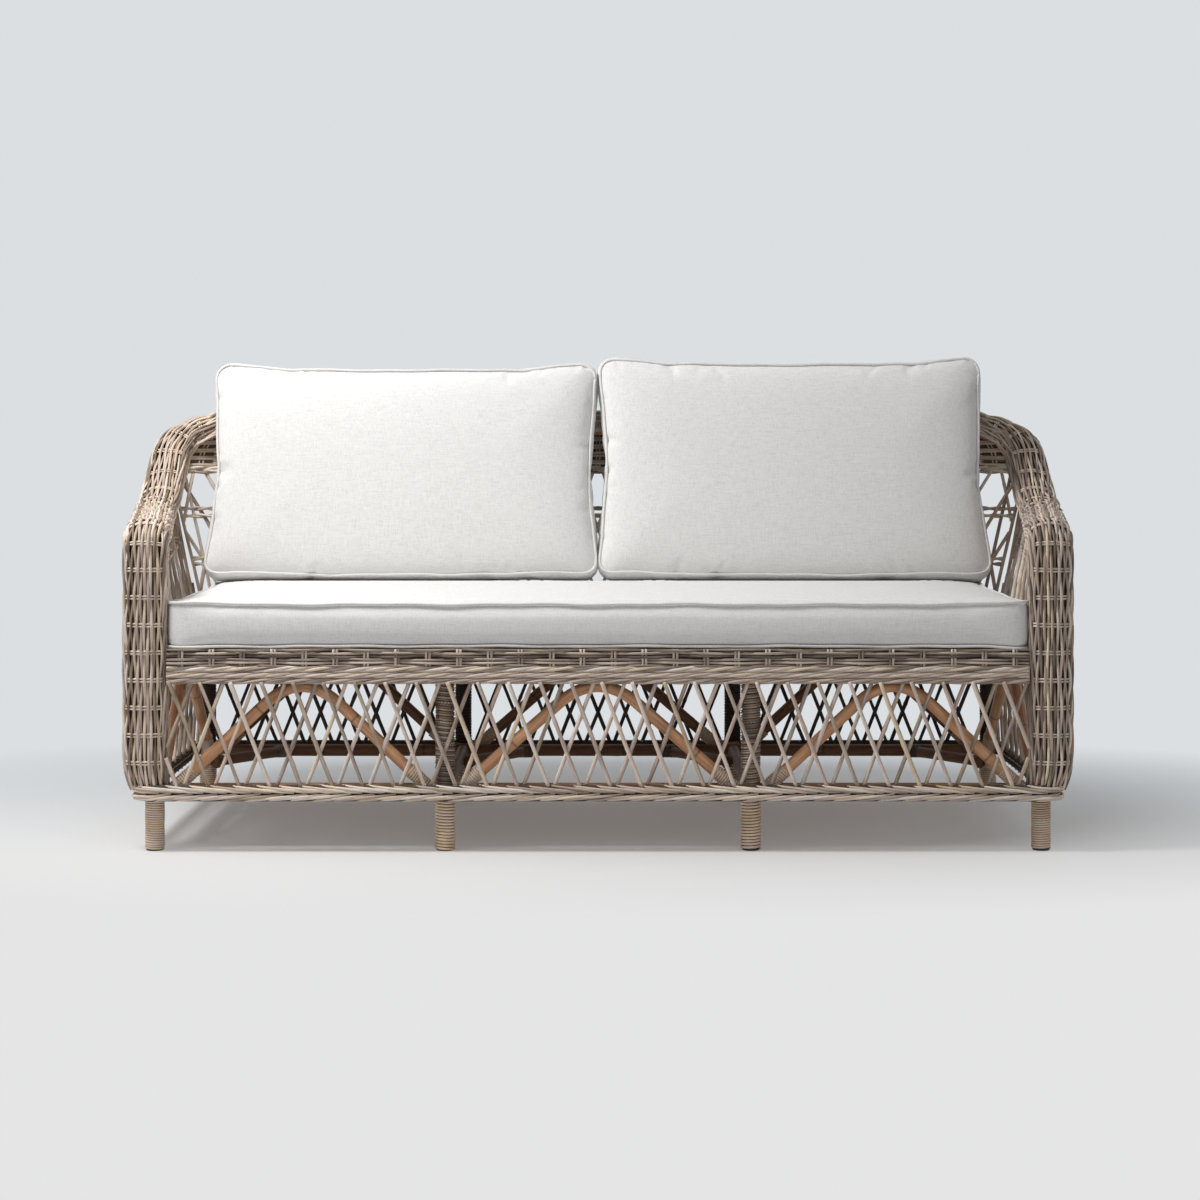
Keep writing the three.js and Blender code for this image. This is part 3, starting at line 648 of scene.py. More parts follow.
def weave_band(name, place, start, end, parity, node):
    """Lengthwise strands over and under pairs of cross stakes, with twisted borders."""
    weave = Weave((0.15, 1.0))
    lining = Weave((0.0, 0.5))
    count = round((end - start) / stake_step)
    pitch = (end - start) / count
    for column in range(1, band_columns - 1):
        weaver(weave, place_along(place, column * column_pitch), 0, start, end, pitch, start,
               radius=band_strand_radius * luck.uniform(0.88, 1.1), row=column + parity, **band_look)
    # A dark lining under every other column: its dark colour is painted shade in the gaps between the
    # columns.
    for column in range(band_columns // 2):
        line = place_along(place, (2 * column + 1) * column_pitch)
        weaver(lining, line, 0, start, end, pitch, start, row=column, **band_lining_look)
    u = np.linspace(edge_room / 2, section_length - edge_room / 2, 44)
    for i in range(count + 1):
        s = min(max(start + i * pitch, start + edge_room), end - edge_room)
        lean = jitter(stake_lean)
        for way in (-1, 1):
            tone = luck.uniform(0.75, 1.1)
            x = s + way * stake_apart + lean * (u / section_length - 0.5)
            weave.lay(place, x, u, -stake_sink, stake_radius, sides=5, tone=tone)
    for u, turned in ((0.0, 1), (border_u, 1), (section_length - border_u, -1), (section_length, -1)):
        rope(weave, place_along(place, u), 0, start, end, turned=turned, **border_look)
    weave.make(name + "_weave", wicker, node)
    lining.make(name + "_lining", painted_shade_lining)
    return count


def place_along(place, u):
    """The same surface, with heights counted from one line of it."""
    return lambda x, z, depth: place(x, u + z, depth)


def add_bands():
    for side, name in sides:
        count = weave_band(f"{name}_arm_band", band_place(side), 0.0, band_s[-1], 0, f"{name}_arm_band")
    weave_band("top_roll", roll_place, -top_x, top_x, count, "top_roll")


# The ring round the base and the apron
ring_radius = leg_radius + gap


def ring_line():
    """A closed line round the legs: places and ways out, from the back right corner on."""
    x = side_inner_x - ring_radius
    front = front_inner_y + ring_radius
    back = back_inner_y - ring_radius
    centres = np.array([(x, back, 0), (-x, back, 0), (-x, front, 0), (x, front, 0)])
    angle = (np.arange(4)[:, None] + np.arange(13) / 12).ravel() * math.pi / 2
    ways = columns(np.cos(angle), np.sin(angle), 0)
    points = np.repeat(centres, 13, axis=0) + ways * ring_radius
    return np.vstack([points, points[:1]]), np.vstack([ways, ways[:1]])


ring_points, ring_ways = ring_line()
ring_s = lengths_along(ring_points)
ring_quarter = ring_radius * math.pi / 2


def ring_place(x, z, depth):
    """Puts (metres round the ring, height, depth out) in place."""
    s = np.mod(x, ring_s[-1])
    out = read_off(s, ring_s, ring_points) + read_off(s, ring_s, ring_ways) * depth[:, None]
    out[:, 2] = z
    return out


def front_place(x, z, depth):
    return columns(x, front_inner_y - depth, z)


bulge_rise = 0.0065
bulge_reach = 0.035


def corner_bulge(x):
    """The braid stands a little prouder where it turns each corner."""
    to_next = ring_quarter + 2 * (side_inner_x - ring_radius)
    corners = np.cumsum([ring_quarter / 2, to_next, ring_quarter + frame_depth, to_next])
    away = (x[:, None] - corners + ring_s[-1] / 2) % ring_s[-1] - ring_s[-1] / 2
    return bulge_rise * np.exp(-(away / bulge_reach) ** 2).sum(1)


braid_step = 0.044
braid_length = 0.150
braid_radius = 0.0029
braid_jitter = 0.0006
braid_wander = 0.06
braid_edge = 0.0030
braid_overlap = 0.0008
core_radius = 0.0060


def braid_row(weave, from_z, to_z, offset):
    """Short strands that come out from behind, slant across the face and go back in."""
    count = round(ring_s[-1] / braid_step)
    for k in range(count):
        t = np.linspace(0, 1, 22)
        x = (k + offset + jitter(braid_wander)) * ring_s[-1] / count + t * braid_length
        z = from_z + (to_z - from_z) * t + jitter(braid_jitter)
        bulge = np.sin(np.pi * np.clip(t * 1.12 - 0.02, 0, 1)) ** 0.5
        depth = braid_thickness * (0.24 + 0.64 * bulge) + corner_bulge(x)
        tone = luck.uniform(0.45, 1.15)
        weave.lay(ring_place, x, z, depth, braid_radius * (0.8 + 0.2 * bulge), tone=tone)


def add_braid():
    weave = Weave((0.3, 0.9))
    low = braid_bottom_z + braid_edge
    high = braid_top_z - braid_edge
    middle = (low + high) / 2
    braid_row(weave, high, middle - braid_overlap, 0)
    braid_row(weave, low, middle + braid_overlap, 0.5)
    # A dark core behind the braid: painted shade in the gaps between its strands.
    core = Weave((0.0, 0.25))
    x = np.linspace(0, ring_s[-1], 320)
    for z in (low + edge_room, middle, high - edge_room):
        core.lay(ring_place, x, z, braid_thickness * 0.42 + corner_bulge(x), core_radius)
    core.make("base_braid_core", painted_shade_lining)
    weave.make("base_braid_weave", wicker, "base_braid")


apron_rows = 6
front_apron_stakes = 28
wale_turn_share = 2.6
apron_room = 0.002
apron_top_room = 0.0030
apron_stake_apart = 0.0064
apron_stake_radius = 0.0026
apron_end_room = 0.003
wale_room = 0.0006
apron_row_step = 0.0061
apron_look = dict(reach=0.0038, radius=0.0026, flat=0.9, drift=0.0009)
apron_lining_look = dict(reach=0.0002, radius=0.0058, flat=0.35, depth=-0.0040, per_pitch=3, sides=5)
wale_rows = 3
wale_look = dict(rise=0.0036, depth=0.0040, radius=0.0030, count=4, turned=-1, per_turn=26)
lattice_pitch = 0.0608


def sunk(place, depth=weave_thickness / 2):
    """The same surface, with depths counted from the middle of the weave."""
    return lambda x, z, out: place(x, z, out + depth)


def weave_apron(weave, lining, surface, start, end, pitch, first):
    """Plain rows over pairs of stakes, and three rows of slanting wale below them."""
    place = sunk(surface)
    low = apron_bottom_z + apron_room
    spots = np.arange(first, end, pitch)
    stake_pairs(weave, place, spots, low, apron_top_z - apron_room / 2, apron_stake_apart, apron_stake_radius)
    top = apron_top_z - apron_top_room
    # The plain rows take darker tones than the rest of the apron: painted shade under the seat cushion's
    # overhang.
    for row in range(apron_rows):
        weaver(weave, place, top - row * apron_row_step, start, end, pitch, first, row=(row + 1) // 2,
               tone=luck.uniform(0.1, 0.7), **apron_look)
    # Dark lining rows behind the apron: painted shade in the gaps.
    for z in np.linspace(apron_bottom_z + 3 * apron_room, top - apron_room, 7):
        weaver(lining, place, z, start, end, pitch, first, **apron_lining_look)
    wale_top = top - (apron_rows - 1) * apron_row_step - wale_room
    wale_step = (wale_top - apron_bottom_z) / wale_rows
    for row in range(wale_rows):
        z = apron_bottom_z + wale_step * (row + 0.5)
        rope(weave, place, z, start, end, pitch * wale_turn_share, **wale_look)


def add_aprons():
    weave = Weave((0.25, 1.0))
    lining = Weave((0.0, 0.5))
    end = band_inner_x - gap
    pitch = 2 * end / front_apron_stakes
    ends = (-end + apron_end_room, end - apron_end_room)
    weave_apron(weave, lining, front_place, *ends, pitch, -end + pitch / 2)
    weave.make("front_apron_weave", wicker, "front_apron")
    weave = Weave((0.25, 1.0))
    length = 2 * frame_depth + 2 * corner_leg_x + 2 * ring_quarter
    pitch = length / round(length / lattice_pitch)
    start = -frame_depth
    weave_apron(weave, lining, ring_place, start, start + length, pitch, start + pitch / 2)
    lining.make("apron_lining", painted_shade_lining)
    weave.make("side_and_back_apron_weave", wicker, "side_and_back_apron")


# Lattices
rod_radius = 0.0040
rod_depth = 0.0040
rod_room = 0.003
rod_over = 0.004
rod_bow = 0.0016
rod_jitter = 0.0012
knot_rise = 0.22
knot_reach = 0.02
top_split = 0.0172
bottom_split = 0.0136


def rods(weave, length, height, place, pitch=lattice_pitch, tiers=1, steps=12, over=rod_over):
    """Pairs of rods that leave the top together, lean each way and cross their neighbours."""
    pairs = round(length / pitch)
    step = length / pairs
    run = (tiers + 0.5) * step - (top_split + bottom_split) / 2
    fine = np.linspace(0, 1, 30)
    for k in range(-tiers - 1, pairs + tiers + 2):
        for way in (1, -1):
            z = np.linspace(-over, height + over, steps)
            x = k * step + way * (top_split / 2 + run * (1 - z / height))
            inside = (x > rod_room) & (x < length - rod_room)
            if inside.sum() < 3:
                continue
            z = z[inside]
            x = x[inside] + jitter(rod_bow) * np.sin(z / height * math.pi) + jitter(rod_jitter)
            share = np.linspace(0, 1, len(z))
            knot = luck.uniform(0.2, 0.8)
            swelling = 1 + knot_rise * np.exp(-((fine - knot) / knot_reach) ** 2)
            swell = rod_radius * luck.uniform(0.9, 1.1) * swelling
            depth = weave_thickness / 2 + way * rod_depth
            weave.lay(place, np.interp(fine, share, x), np.interp(fine, share, z), depth, swell, sides=7)


def add_lower_lattices():
    height = apron_bottom_z - braid_top_z
    half = band_inner_x - gap
    looks = [
        ("front_lattice", wicker, (0.35, 0.9), 2 * half,
         lambda x, z, d: front_place(x - half, braid_top_z + z, d)),
        # The back lattice takes the darker copy of the wicker and lower tones: painted shade.
        ("back_lower_lattice", painted_shade_wicker, (0.1, 0.7), 2 * corner_leg_x,
         lambda x, z, d: columns(corner_leg_x - x, back_inner_y + d, braid_top_z + z)),
    ]
    for side, name in sides:
        looks.append((
            f"{name}_lower_lattice", wicker, (0.2, 0.8), frame_depth,
            lambda x, z, d, side=side: columns(side * (side_inner_x + d), front_leg_y + x, braid_top_z + z),
        ))
    for node, material, tones, length, place in looks:
        weave = Weave(tones)
        rods(weave, length, height, place)
        weave.make(node + "_rods", material, node)


post_overlap = 0.0005
post_top_z = top_z - band_pole_drop - 2 * leg_radius + post_overlap
post_bend_z = apron_top_z + leg_radius / 2
top_pole_y = top_y - pole_side_shift
top_pole_z = top_z - band_pole_drop
post_slope = (top_pole_y - back_leg_y) / (post_top_z - post_bend_z)

# The back's end at some heights: how far out and how far back it lies there
back_over = 0.012
back_half = corner_leg_x + back_over
back_end_z = [apron_top_z, 0.520, 0.640, 0.700, 0.725, 0.770, 0.812, 0.845]
back_end = [
    (0.874, 0.322), (0.902, 0.318), (0.930, 0.313), (0.944, 0.306),
    (0.950, 0.308), (0.946, 0.326), (0.920, 0.345), (0.866, 0.362),
]
turn_share = 0.13
gap_behind = 0.0002


def back_place(x, z, depth):
    """Puts (metres from the middle, height, depth back) in place; the ends turn forward under the band."""
    share = x / back_half
    edge_x, edge_y = read_off(z, back_end_z, back_end).T
    turned = np.clip((np.abs(share) - 1 + turn_share) / turn_share, 0, 1) ** 2
    flat_y = back_inner_y + post_slope * np.maximum(z - post_bend_z, 0) + gap_behind
    return columns(share * edge_x, flat_y + (edge_y - flat_y) * turned + depth, z)


twist_look = dict(turn_length=0.07, rise=0.0026, depth=0.0062, radius=0.0028)
panel_rope_look = dict(turn_length=0.09, rise=0.0024, depth=0.0052, radius=0.0034)
arm_twist_look = dict(turn_length=0.07, rise=0.0020, depth=0.0062, radius=0.0027)
panel_look = dict(reach=0.0034, radius=0.0027, flat=1.0, drift=0.0010)
panel_lining_look = dict(reach=0.0, radius=0.0036, flat=0.5)
panel_rows = 12
panel_low_room = 0.007
panel_top_room = 0.020
panel_sink = 0.0055
panel_strand_apart = 0.0026
panel_stake_apart = 0.0066
panel_stake_radius = 0.0024
panel_ropes = ((0.0030, 1), (0.0110, -1))
back_pitch = 0.054
panel_stakes = 32
low_twist_apart = 0.0060
high_twist_apart = 0.0080
high_twist_lift = 0.0010
twist_levels = (
    (low_twist_z + low_twist_height / 2, low_twist_apart),
    (high_twist_z + high_twist_lift, high_twist_apart),
)
end_stake_insets = (0.002, 0.026)


def add_back():
    """The open lattice with its twisted rows, and the woven panel above it."""
    ends = (-back_half, back_half)
    height = woven_back_bottom_z - apron_top_z
    weave = Weave((0.3, 0.95))
    rods(weave, 2 * back_half, height, lambda x, z, d: back_place(x - back_half, apron_top_z + z, d),
         pitch=back_pitch, tiers=2, steps=30)
    rise = np.linspace(0, height, 24)
    for end in ends:
        for inset in end_stake_insets:
            edge = sunk(back_place)(end - np.sign(end) * inset, apron_top_z + rise, 0.0)
            weave.strand(edge, rod_radius * luck.uniform(0.9, 1.1), Y_AXIS, sides=7)
    for z, spread in twist_levels:
        for way in (-1, 1):
            rope(weave, sunk(back_place), z + way * spread, *ends, turned=way, **twist_look)
    weave.make("back_lattice_rods", wicker, "back_lattice")
    weave = Weave((0.45, 1.1))
    lining = Weave()
    low = woven_back_bottom_z + panel_low_room
    high = top_z - panel_top_room
    step = (high - low) / panel_rows
    pitch = 2 * back_half / panel_stakes
    panel = sunk(back_place, panel_sink)
    for row in range(panel_rows):
        for way in (-1, 1):
            z = low + (row + 0.2) * step + way * panel_strand_apart
            weaver(weave, panel, z, *ends, pitch, 0, row=row, **panel_look)
    # Dark lining rows behind the panel: painted shade in the gaps between its rows.
    for row in range(2 * panel_rows):
        z = low + (row / 2 + 0.2) * step
        weaver(lining, panel, z, *ends, pitch, 0, **panel_lining_look)
    lining.make("woven_top_panel_lining", painted_shade_lining)
    spots = np.arange(1 - panel_stakes // 2, panel_stakes // 2) * pitch
    stake_pairs(weave, panel, spots, low, high, panel_stake_apart, panel_stake_radius)
    for drop, turned in panel_ropes:
        rope(weave, panel, low - drop, *ends, turned=turned, **panel_rope_look)
    weave.make("woven_top_panel_weave", wicker, "woven_top_panel")


arm_head_drop = 0.030
arm_twists = ((0.120, 1), (0.129, -1))
arm_behind = 0.068
arm_inset = 0.005
arm_over = 0.012


def add_arm_lattices():
    inward = leg_radius + gap - pole_side_shift + arm_inset
    height = arm_top_z - arm_head_drop - apron_top_z
    for side, name in sides:

        def place(x, z, depth, side=side):
            share = np.clip(x / frame_depth, 0, 1) * 0.5 + np.clip(x / frame_depth - 1, 0, 1) * 1.1
            point, edge, top = sweep_frame(share)
            head = point + edge * (inward + depth)[:, None] - top * arm_head_drop
            foot = columns(side_inner_x + depth, front_leg_y + np.minimum(x, frame_depth), apron_top_z)
            return (foot + (head - foot) * (z / height)[:, None]) * mirrors[side]

        weave = Weave((0.3, 0.9))
        rods(weave, frame_depth + arm_behind, height, place, steps=24, over=arm_over)
        ends = (edge_room, frame_depth - edge_room)
        for lift, turned in arm_twists:
            rope(weave, sunk(place), lift, *ends, turned=turned, **arm_twist_look)
        weave.make(f"{name}_arm_lattice_rods", wicker, f"{name}_arm_lattice")


# Poles
foot_straight = (0.0, 0.1)
bend_below = 0.02
bend_above = 0.004
bend_back = 0.006
brace_reach = 0.190
brace_run = 0.113
brace_end = 0.022
arch_shoulder_z = 0.285
arch_shoulder_share = 0.28
arch_wrap_ends = (0.006, 0.060)
arch_wrap_radius = 0.0024
arch_wrap_pitch = 0.0050
wrap_radius = 0.0022
wrap_room = 0.004
wrap_over = 0.012
wrap_pitch = 0.0044


def smooth(points, steps):
    return spline(points, np.linspace(0, 1, steps))


def add_poles():
    seat_under = apron_top_z - deck_thickness - gap
    for side, name in sides:
        inner = (band_points - band_edges * pole_side_shift - band_crowns * band_pole_drop) * mirrors[side]
        foot = np.array([[side * corner_leg_x, front_leg_y, z] for z in foot_straight])
        facing = np.vstack([X_AXIS, X_AXIS, band_edges[::4] * mirrors[side]])
        weave = Weave()
        weave.strand(np.vstack([foot, inner[::4]]), leg_radius, facing, sides=18, tone=0.4)
        weave.make(f"{name}_arm_pole_cane", rattan, f"{name}_arm_pole", slot="rattan")
        x = side * middle_leg_x
        route = [(x, front_leg_y, 0), (x, front_leg_y, seat_under)]
        pole(f"{name}_front_middle_leg", route, leg_radius, tone=0.3)
        bent = (x, back_leg_y + post_slope * bend_back, post_bend_z + bend_above)
        straight = [(x, back_leg_y, 0), (x, back_leg_y, post_bend_z - bend_below)]
        route = [*straight, bent, (x, top_pole_y, post_top_z)]
        pole(f"{name}_back_middle_leg", route, leg_radius, tone=0.6, facing=X_AXIS)
        x = side * corner_leg_x
        route = [(x, back_leg_y, 0), (x, back_leg_y, apron_top_z)]
        pole(f"{name}_back_corner_leg", route, leg_radius, tone=0.6, facing=X_AXIS)
    end = top_x - gap
    pole("top_rail", [(-end, top_pole_y, top_pole_z), (end, top_pole_y, top_pole_z)], leg_radius, tone=0.2)
    add_rails()
    add_braces()
    add_arches()


def add_rails():
    end = side_rail_x - rail_radius - gap
    inner = rail_radius + gap
    levels = (
        ("bottom", bottom_rail_z, front_rail_y - rail_radius, back_rail_y + rail_radius),
        ("seat", seat_rail_z, front_leg_y + band_depth - band_pole_drop + gap, back_leg_y),
    )
    for level, z, side_front, side_back in levels:
        # The back rails take the darker copy of the rattan: painted shade.
        for row, y, material in (("front", front_rail_y, rattan), ("back", back_rail_y, painted_shade_rattan)):
            pole(f"{row}_{level}_rail", [(-end, y, z), (end, y, z)], rail_radius, material)
        for side, name in sides:
            x = side * side_rail_x
            pole(f"{name}_{level}_rail", [(x, side_front, z), (x, side_back, z)], rail_radius, facing=Z_AXIS)
            cross = [(side * middle_leg_x, y, z) for y in (front_rail_y + inner, back_rail_y - inner)]
            # The stretchers take the darker copy of the rattan: painted shade.
            pole(f"{name}_{level}_stretcher", cross, rail_radius, painted_shade_rattan, Z_AXIS)


def add_braces():
    """Bent knee braces from the stretchers to the back rail, bound at both ends."""
    touch = rail_radius + brace_radius + gap
    for side, name in sides:
        for spot, x in (("outer", side_rail_x - touch), ("inner", middle_leg_x - touch)):
            node = f"{name}_{spot}_knee_brace"
            start = np.array([side * x, back_rail_y - brace_reach, bottom_rail_z])
            finish = np.array([side * (x - brace_run), back_rail_y - touch, bottom_rail_z])
            ahead = start - brace_end * Y_AXIS
            beyond = finish - side * brace_end * X_AXIS
            straight = [start + (finish - start) * share for share in (0, 0.12, 0.88, 1)]
            # The knee braces take the darker copy of the rattan: painted shade.
            pole(node, smooth([ahead, *straight, beyond], 50), brace_radius, painted_shade_rattan, Z_AXIS)
            weave = Weave((0.2, 0.8))
            for ends in (
                [ahead + wrap_room * Y_AXIS, start + wrap_over * Y_AXIS],
                [finish + side * wrap_over * X_AXIS, beyond],
            ):
                winding(weave, ends, brace_radius, wrap_radius, wrap_pitch, start=Z_AXIS)
            weave.make(node + "_wrap", dark_cane, slot="cane")


def arch_route(half_span):
    shoulder = half_span * arch_shoulder_share
    slope = (arch_shoulder_z - bottom_rail_z) / (half_span - shoulder)
    t = np.linspace(0, 1, 25)[:, None]
    a = np.array([-shoulder, 0, arch_shoulder_z])
    b = np.array([0, 0, arch_shoulder_z + slope * shoulder])
    c = np.array([shoulder, 0, arch_shoulder_z])
    bend = a * (1 - t) ** 2 + 2 * b * t * (1 - t) + c * t**2
    return np.vstack([[(-half_span, 0, bottom_rail_z)], bend, [(half_span, 0, bottom_rail_z)]])


def add_arches():
    foot_room = leg_radius + arch_radius * 0.72 + gap
    inner = middle_leg_x + foot_room
    outer = corner_leg_x - foot_room - band_wall - gap
    bays = (
        ("left", -(outer + inner) / 2, (outer - inner) / 2),
        ("centre", 0, middle_leg_x - foot_room),
        ("right", (outer + inner) / 2, (outer - inner) / 2),
    )
    off = rail_radius + arch_radius * math.cos(math.pi / 6) + gap
    # The back arches take the darker copy of the rattan: painted shade.
    rows = (("front", front_rail_y - off, rattan), ("back", back_rail_y + off, painted_shade_rattan))
    for name, x, half_span in bays:
        for row, y, material in rows:
            dress_arch(f"{name}_{row}_arch", arch_route(half_span) + (x, y, 0), Y_AXIS, material)
    flat = arch_route(frame_depth / 2 - foot_room)
    for side, name in sides:
        route = columns(side * (side_rail_x + off), (front_leg_y + back_leg_y) / 2 + flat[:, 0], flat[:, 2])
        dress_arch(f"{name}_side_arch", route, X_AXIS, rattan)


def dress_arch(node, route, facing, material):
    """The arch's pole, with cane bound round both feet."""
    pole(node, route, arch_radius, material, facing, knuckle=arch_knuckle_apart)
    weave = Weave((0.3, 0.9))
    for foot, way in ((route[0], route[1] - route[0]), (route[-1], route[-2] - route[-1])):
        way = way / np.linalg.norm(way)
        ends = [foot + way * reach for reach in arch_wrap_ends]
        winding(weave, ends, arch_radius, arch_wrap_radius, arch_wrap_pitch, start=facing)
    weave.make(node + "_foot_wrap", cane, slot="cane")


foot_low = 0.006
foot_high = 0.096
core_skin = 0.0008
glide_levels = (0.0, 0.0012, 0.0050, 0.0062)
glide_swells = np.array([0.98, 1.05, 1.05, 1.0])
winding_sections = 5
foot_looks = {
    "corner": dict(pitch=0.0046, tones=(0.3, 0.9), radius_share=0.455),
    "middle": dict(pitch=0.0064, tones=(0.5, 1.1), radius_share=0.43),
}
upright_looks = {
    "front": dict(material=dark_cane, pitch=0.0088, tones=(0.4, 1.3)),
    # The back bindings take the darker copy of the cane: painted shade.
    "back": dict(material=painted_shade_cane, pitch=0.0070, tones=(0.1, 0.8)),
}


def wound(name, spot, low, high, turned, material, pitch, tones, nodes=(), strands=1, radius_share=0.44):
    """A leg bound with cane, turn beside turn, over a dark core that shows between the turns as painted
    shade.
    """
    core = Weave()
    core.strand([spot + (0, 0, low), spot + (0, 0, high)], leg_radius + core_skin, X_AXIS, sides=18)
    core.make(name + "_core", painted_shade_lining, slot="cane")
    weave = Weave(tones)
    turns = round((high - low) / (winding_sections * pitch))
    pitch = (high - low) / (winding_sections * turns)
    edges = np.linspace(low, high, winding_sections + 1)
    radius = pitch * radius_share / strands
    for a, b in zip(edges, edges[1:]):
        for strand in range(strands):
            rise = pitch * (strand * radius_share * 1.9 / strands - 0.5)
            ends = [spot + (0, 0, a + rise), spot + (0, 0, b + rise + pitch)]
            winding(weave, ends, leg_radius, radius, pitch, flat=0.95, per_turn=18, sides=5, turned=turned)
    weave.make(name, material, *nodes, slot="cane")


def add_windings():
    """Cane round the feet, finer on the corners, and a rougher binding above the braid."""
    for side, name in sides:
        for row, y in (("front", front_leg_y), ("back", back_leg_y)):
            for column, x in (("corner", corner_leg_x), ("middle", middle_leg_x)):
                spot = np.array([side * x, y, 0])
                node = f"{name}_{row}_{column}"
                wound(f"{node}_foot_winding_cane", spot, foot_low, foot_high, side, cane,
                      nodes=[node + "_foot_winding"], **foot_looks[column])
                if (row, column) != ("front", "corner"):
                    wound(f"{node}_upright_winding", spot, braid_top_z, apron_bottom_z, side, strands=2,
                          **upright_looks[row])


def add_glides():
    """A dark rubber cap under each foot."""
    weave = Weave()
    for x in (-corner_leg_x, -middle_leg_x, middle_leg_x, corner_leg_x):
        for y in (front_leg_y, back_leg_y):
            weave.strand(columns(x, y, glide_levels), leg_radius * glide_swells, X_AXIS, sides=24)
    weave.make("foot_glides", rubber, slot="rattan")


deck_pitch = 0.07
deck_room = 0.003
deck_strip_radius = 0.0055
deck_row_step = 0.0102
deck_look = dict(reach=0.0018, radius=0.0044, flat=0.34, drift=0.0002, per_pitch=5, sides=5)


def add_deck():
    """Flat cane woven across the seat, seen from below."""
    low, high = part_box("seat_deck")
    middle = (low[2] + high[2]) / 2
    weave = Weave((0.2, 0.9))

    def place(x, y, depth):
        return columns(x, y, middle + depth)

    rows = int((high[1] - low[1]) / deck_row_step)
    for row, y in enumerate(np.linspace(low[1] + 2 * deck_room, high[1] - 2 * deck_room, rows)):
        weaver(weave, place, y, low[0] + deck_room, high[0] - deck_room, deck_pitch, 0, row=row, **deck_look)
    y = np.linspace(low[1] + deck_room, high[1] - deck_room, 12)
    for spot in np.arange(math.ceil(low[0] / deck_pitch), math.floor(high[0] / deck_pitch) + 1) * deck_pitch:
        weave.strand(place(spot, y, 0.0), deck_strip_radius, Z_AXIS, flat=0.3)
    weave.make("seat_deck_cane", cane, "seat_deck", slot="cane")


# Cushions
seat_front_room = 0.006
seat_side_room = 0.0037
seat_back_room = 0.0057
seat_lift = 0.0005
seat_front_y = front_inner_y - weave_thickness + seat_front_room
seat_width = 2 * (band_inner_x - seat_side_room)
seat_depth = back_leg_y - leg_radius - seat_back_room - seat_front_y
seat_edge = 0.088
seat_crown = 0.016
seat_base_z = apron_top_z + gap + seat_lift + seat_edge / 2
seat_top_z = seat_base_z + seat_edge / 2 + seat_crown
back_lean = math.radians(7)
cushion_gap = 0.006
back_overhang = 0.010
back_width = (seat_width + 2 * back_overhang - cushion_gap) / 2
back_depths = {"left": 0.477, "right": 0.490}
back_stand_room = 0.098
back_stand_y = top_y - band_width / 2 - back_stand_room
back_sink = 0.0084
slack = 0.006
back_slack = 0.009
back_flare = 0.018
seat_look = dict(
    edge=0.086, crown_rise=0.011, under=-0.003, corner=0.028, bow=(0.003, 0.003, 0.002, 0.003), proud=0.0015,
)
back_look = dict(
    edge=0.066, crown_rise=0.024, under=0.014, corner=0.032, bow=(0.005, 0.004, 0.0, 0.004), proud=0.0065,
    lift=0.013,
)
piping_radius = 0.0029
piping_out = 0.0010
piping_waves = ((0.0012, 21), (0.0008, 47))
outline_step = 0.012
corner_steps = 8
panel_rings = 26
wall_steps = 9
foot_reach = 0.09
rest_reach = 0.16
rest_inset = 0.05
rest_width = 0.02
rest_gap = 0.0006
rest_from_z = 1.0
seat_voxel = 0.0075
back_voxel = 0.0065
seat_swell = dict(pressure=1.2, cap=0.005, shrink=-0.01)
back_swell = dict(pressure=3.0, cap=0.016, shrink=-0.02)


def rounded_outline(width, depth, corner, bow):
    """Points and ways out round a panel whose sides are drawn in between its corners."""
    points = []
    ways = []
    half_x = width / 2 - corner
    half_y = depth / 2 - corner
    corners = [(half_x, half_y), (-half_x, half_y), (-half_x, -half_y), (half_x, -half_y)]
    for quarter, (cx, cy) in enumerate(corners):
        nx, ny = corners[(quarter + 1) % 4]
        count = max(int(math.hypot(nx - cx, ny - cy) / outline_step), 2)
        for i in range(corner_steps + count):
            turned = min(i / corner_steps, 1)
            share = max(i - corner_steps, 0) / count
            angle = (quarter + turned) * math.pi / 2
            out = (math.cos(angle), math.sin(angle))
            drawn = corner - bow[quarter] * math.sin(math.pi * share)
            points.append((cx + (nx - cx) * share + out[0] * drawn, cy + (ny - cy) * share + out[1] * drawn))
            ways.append(out)
    return np.array(points), np.array(ways)


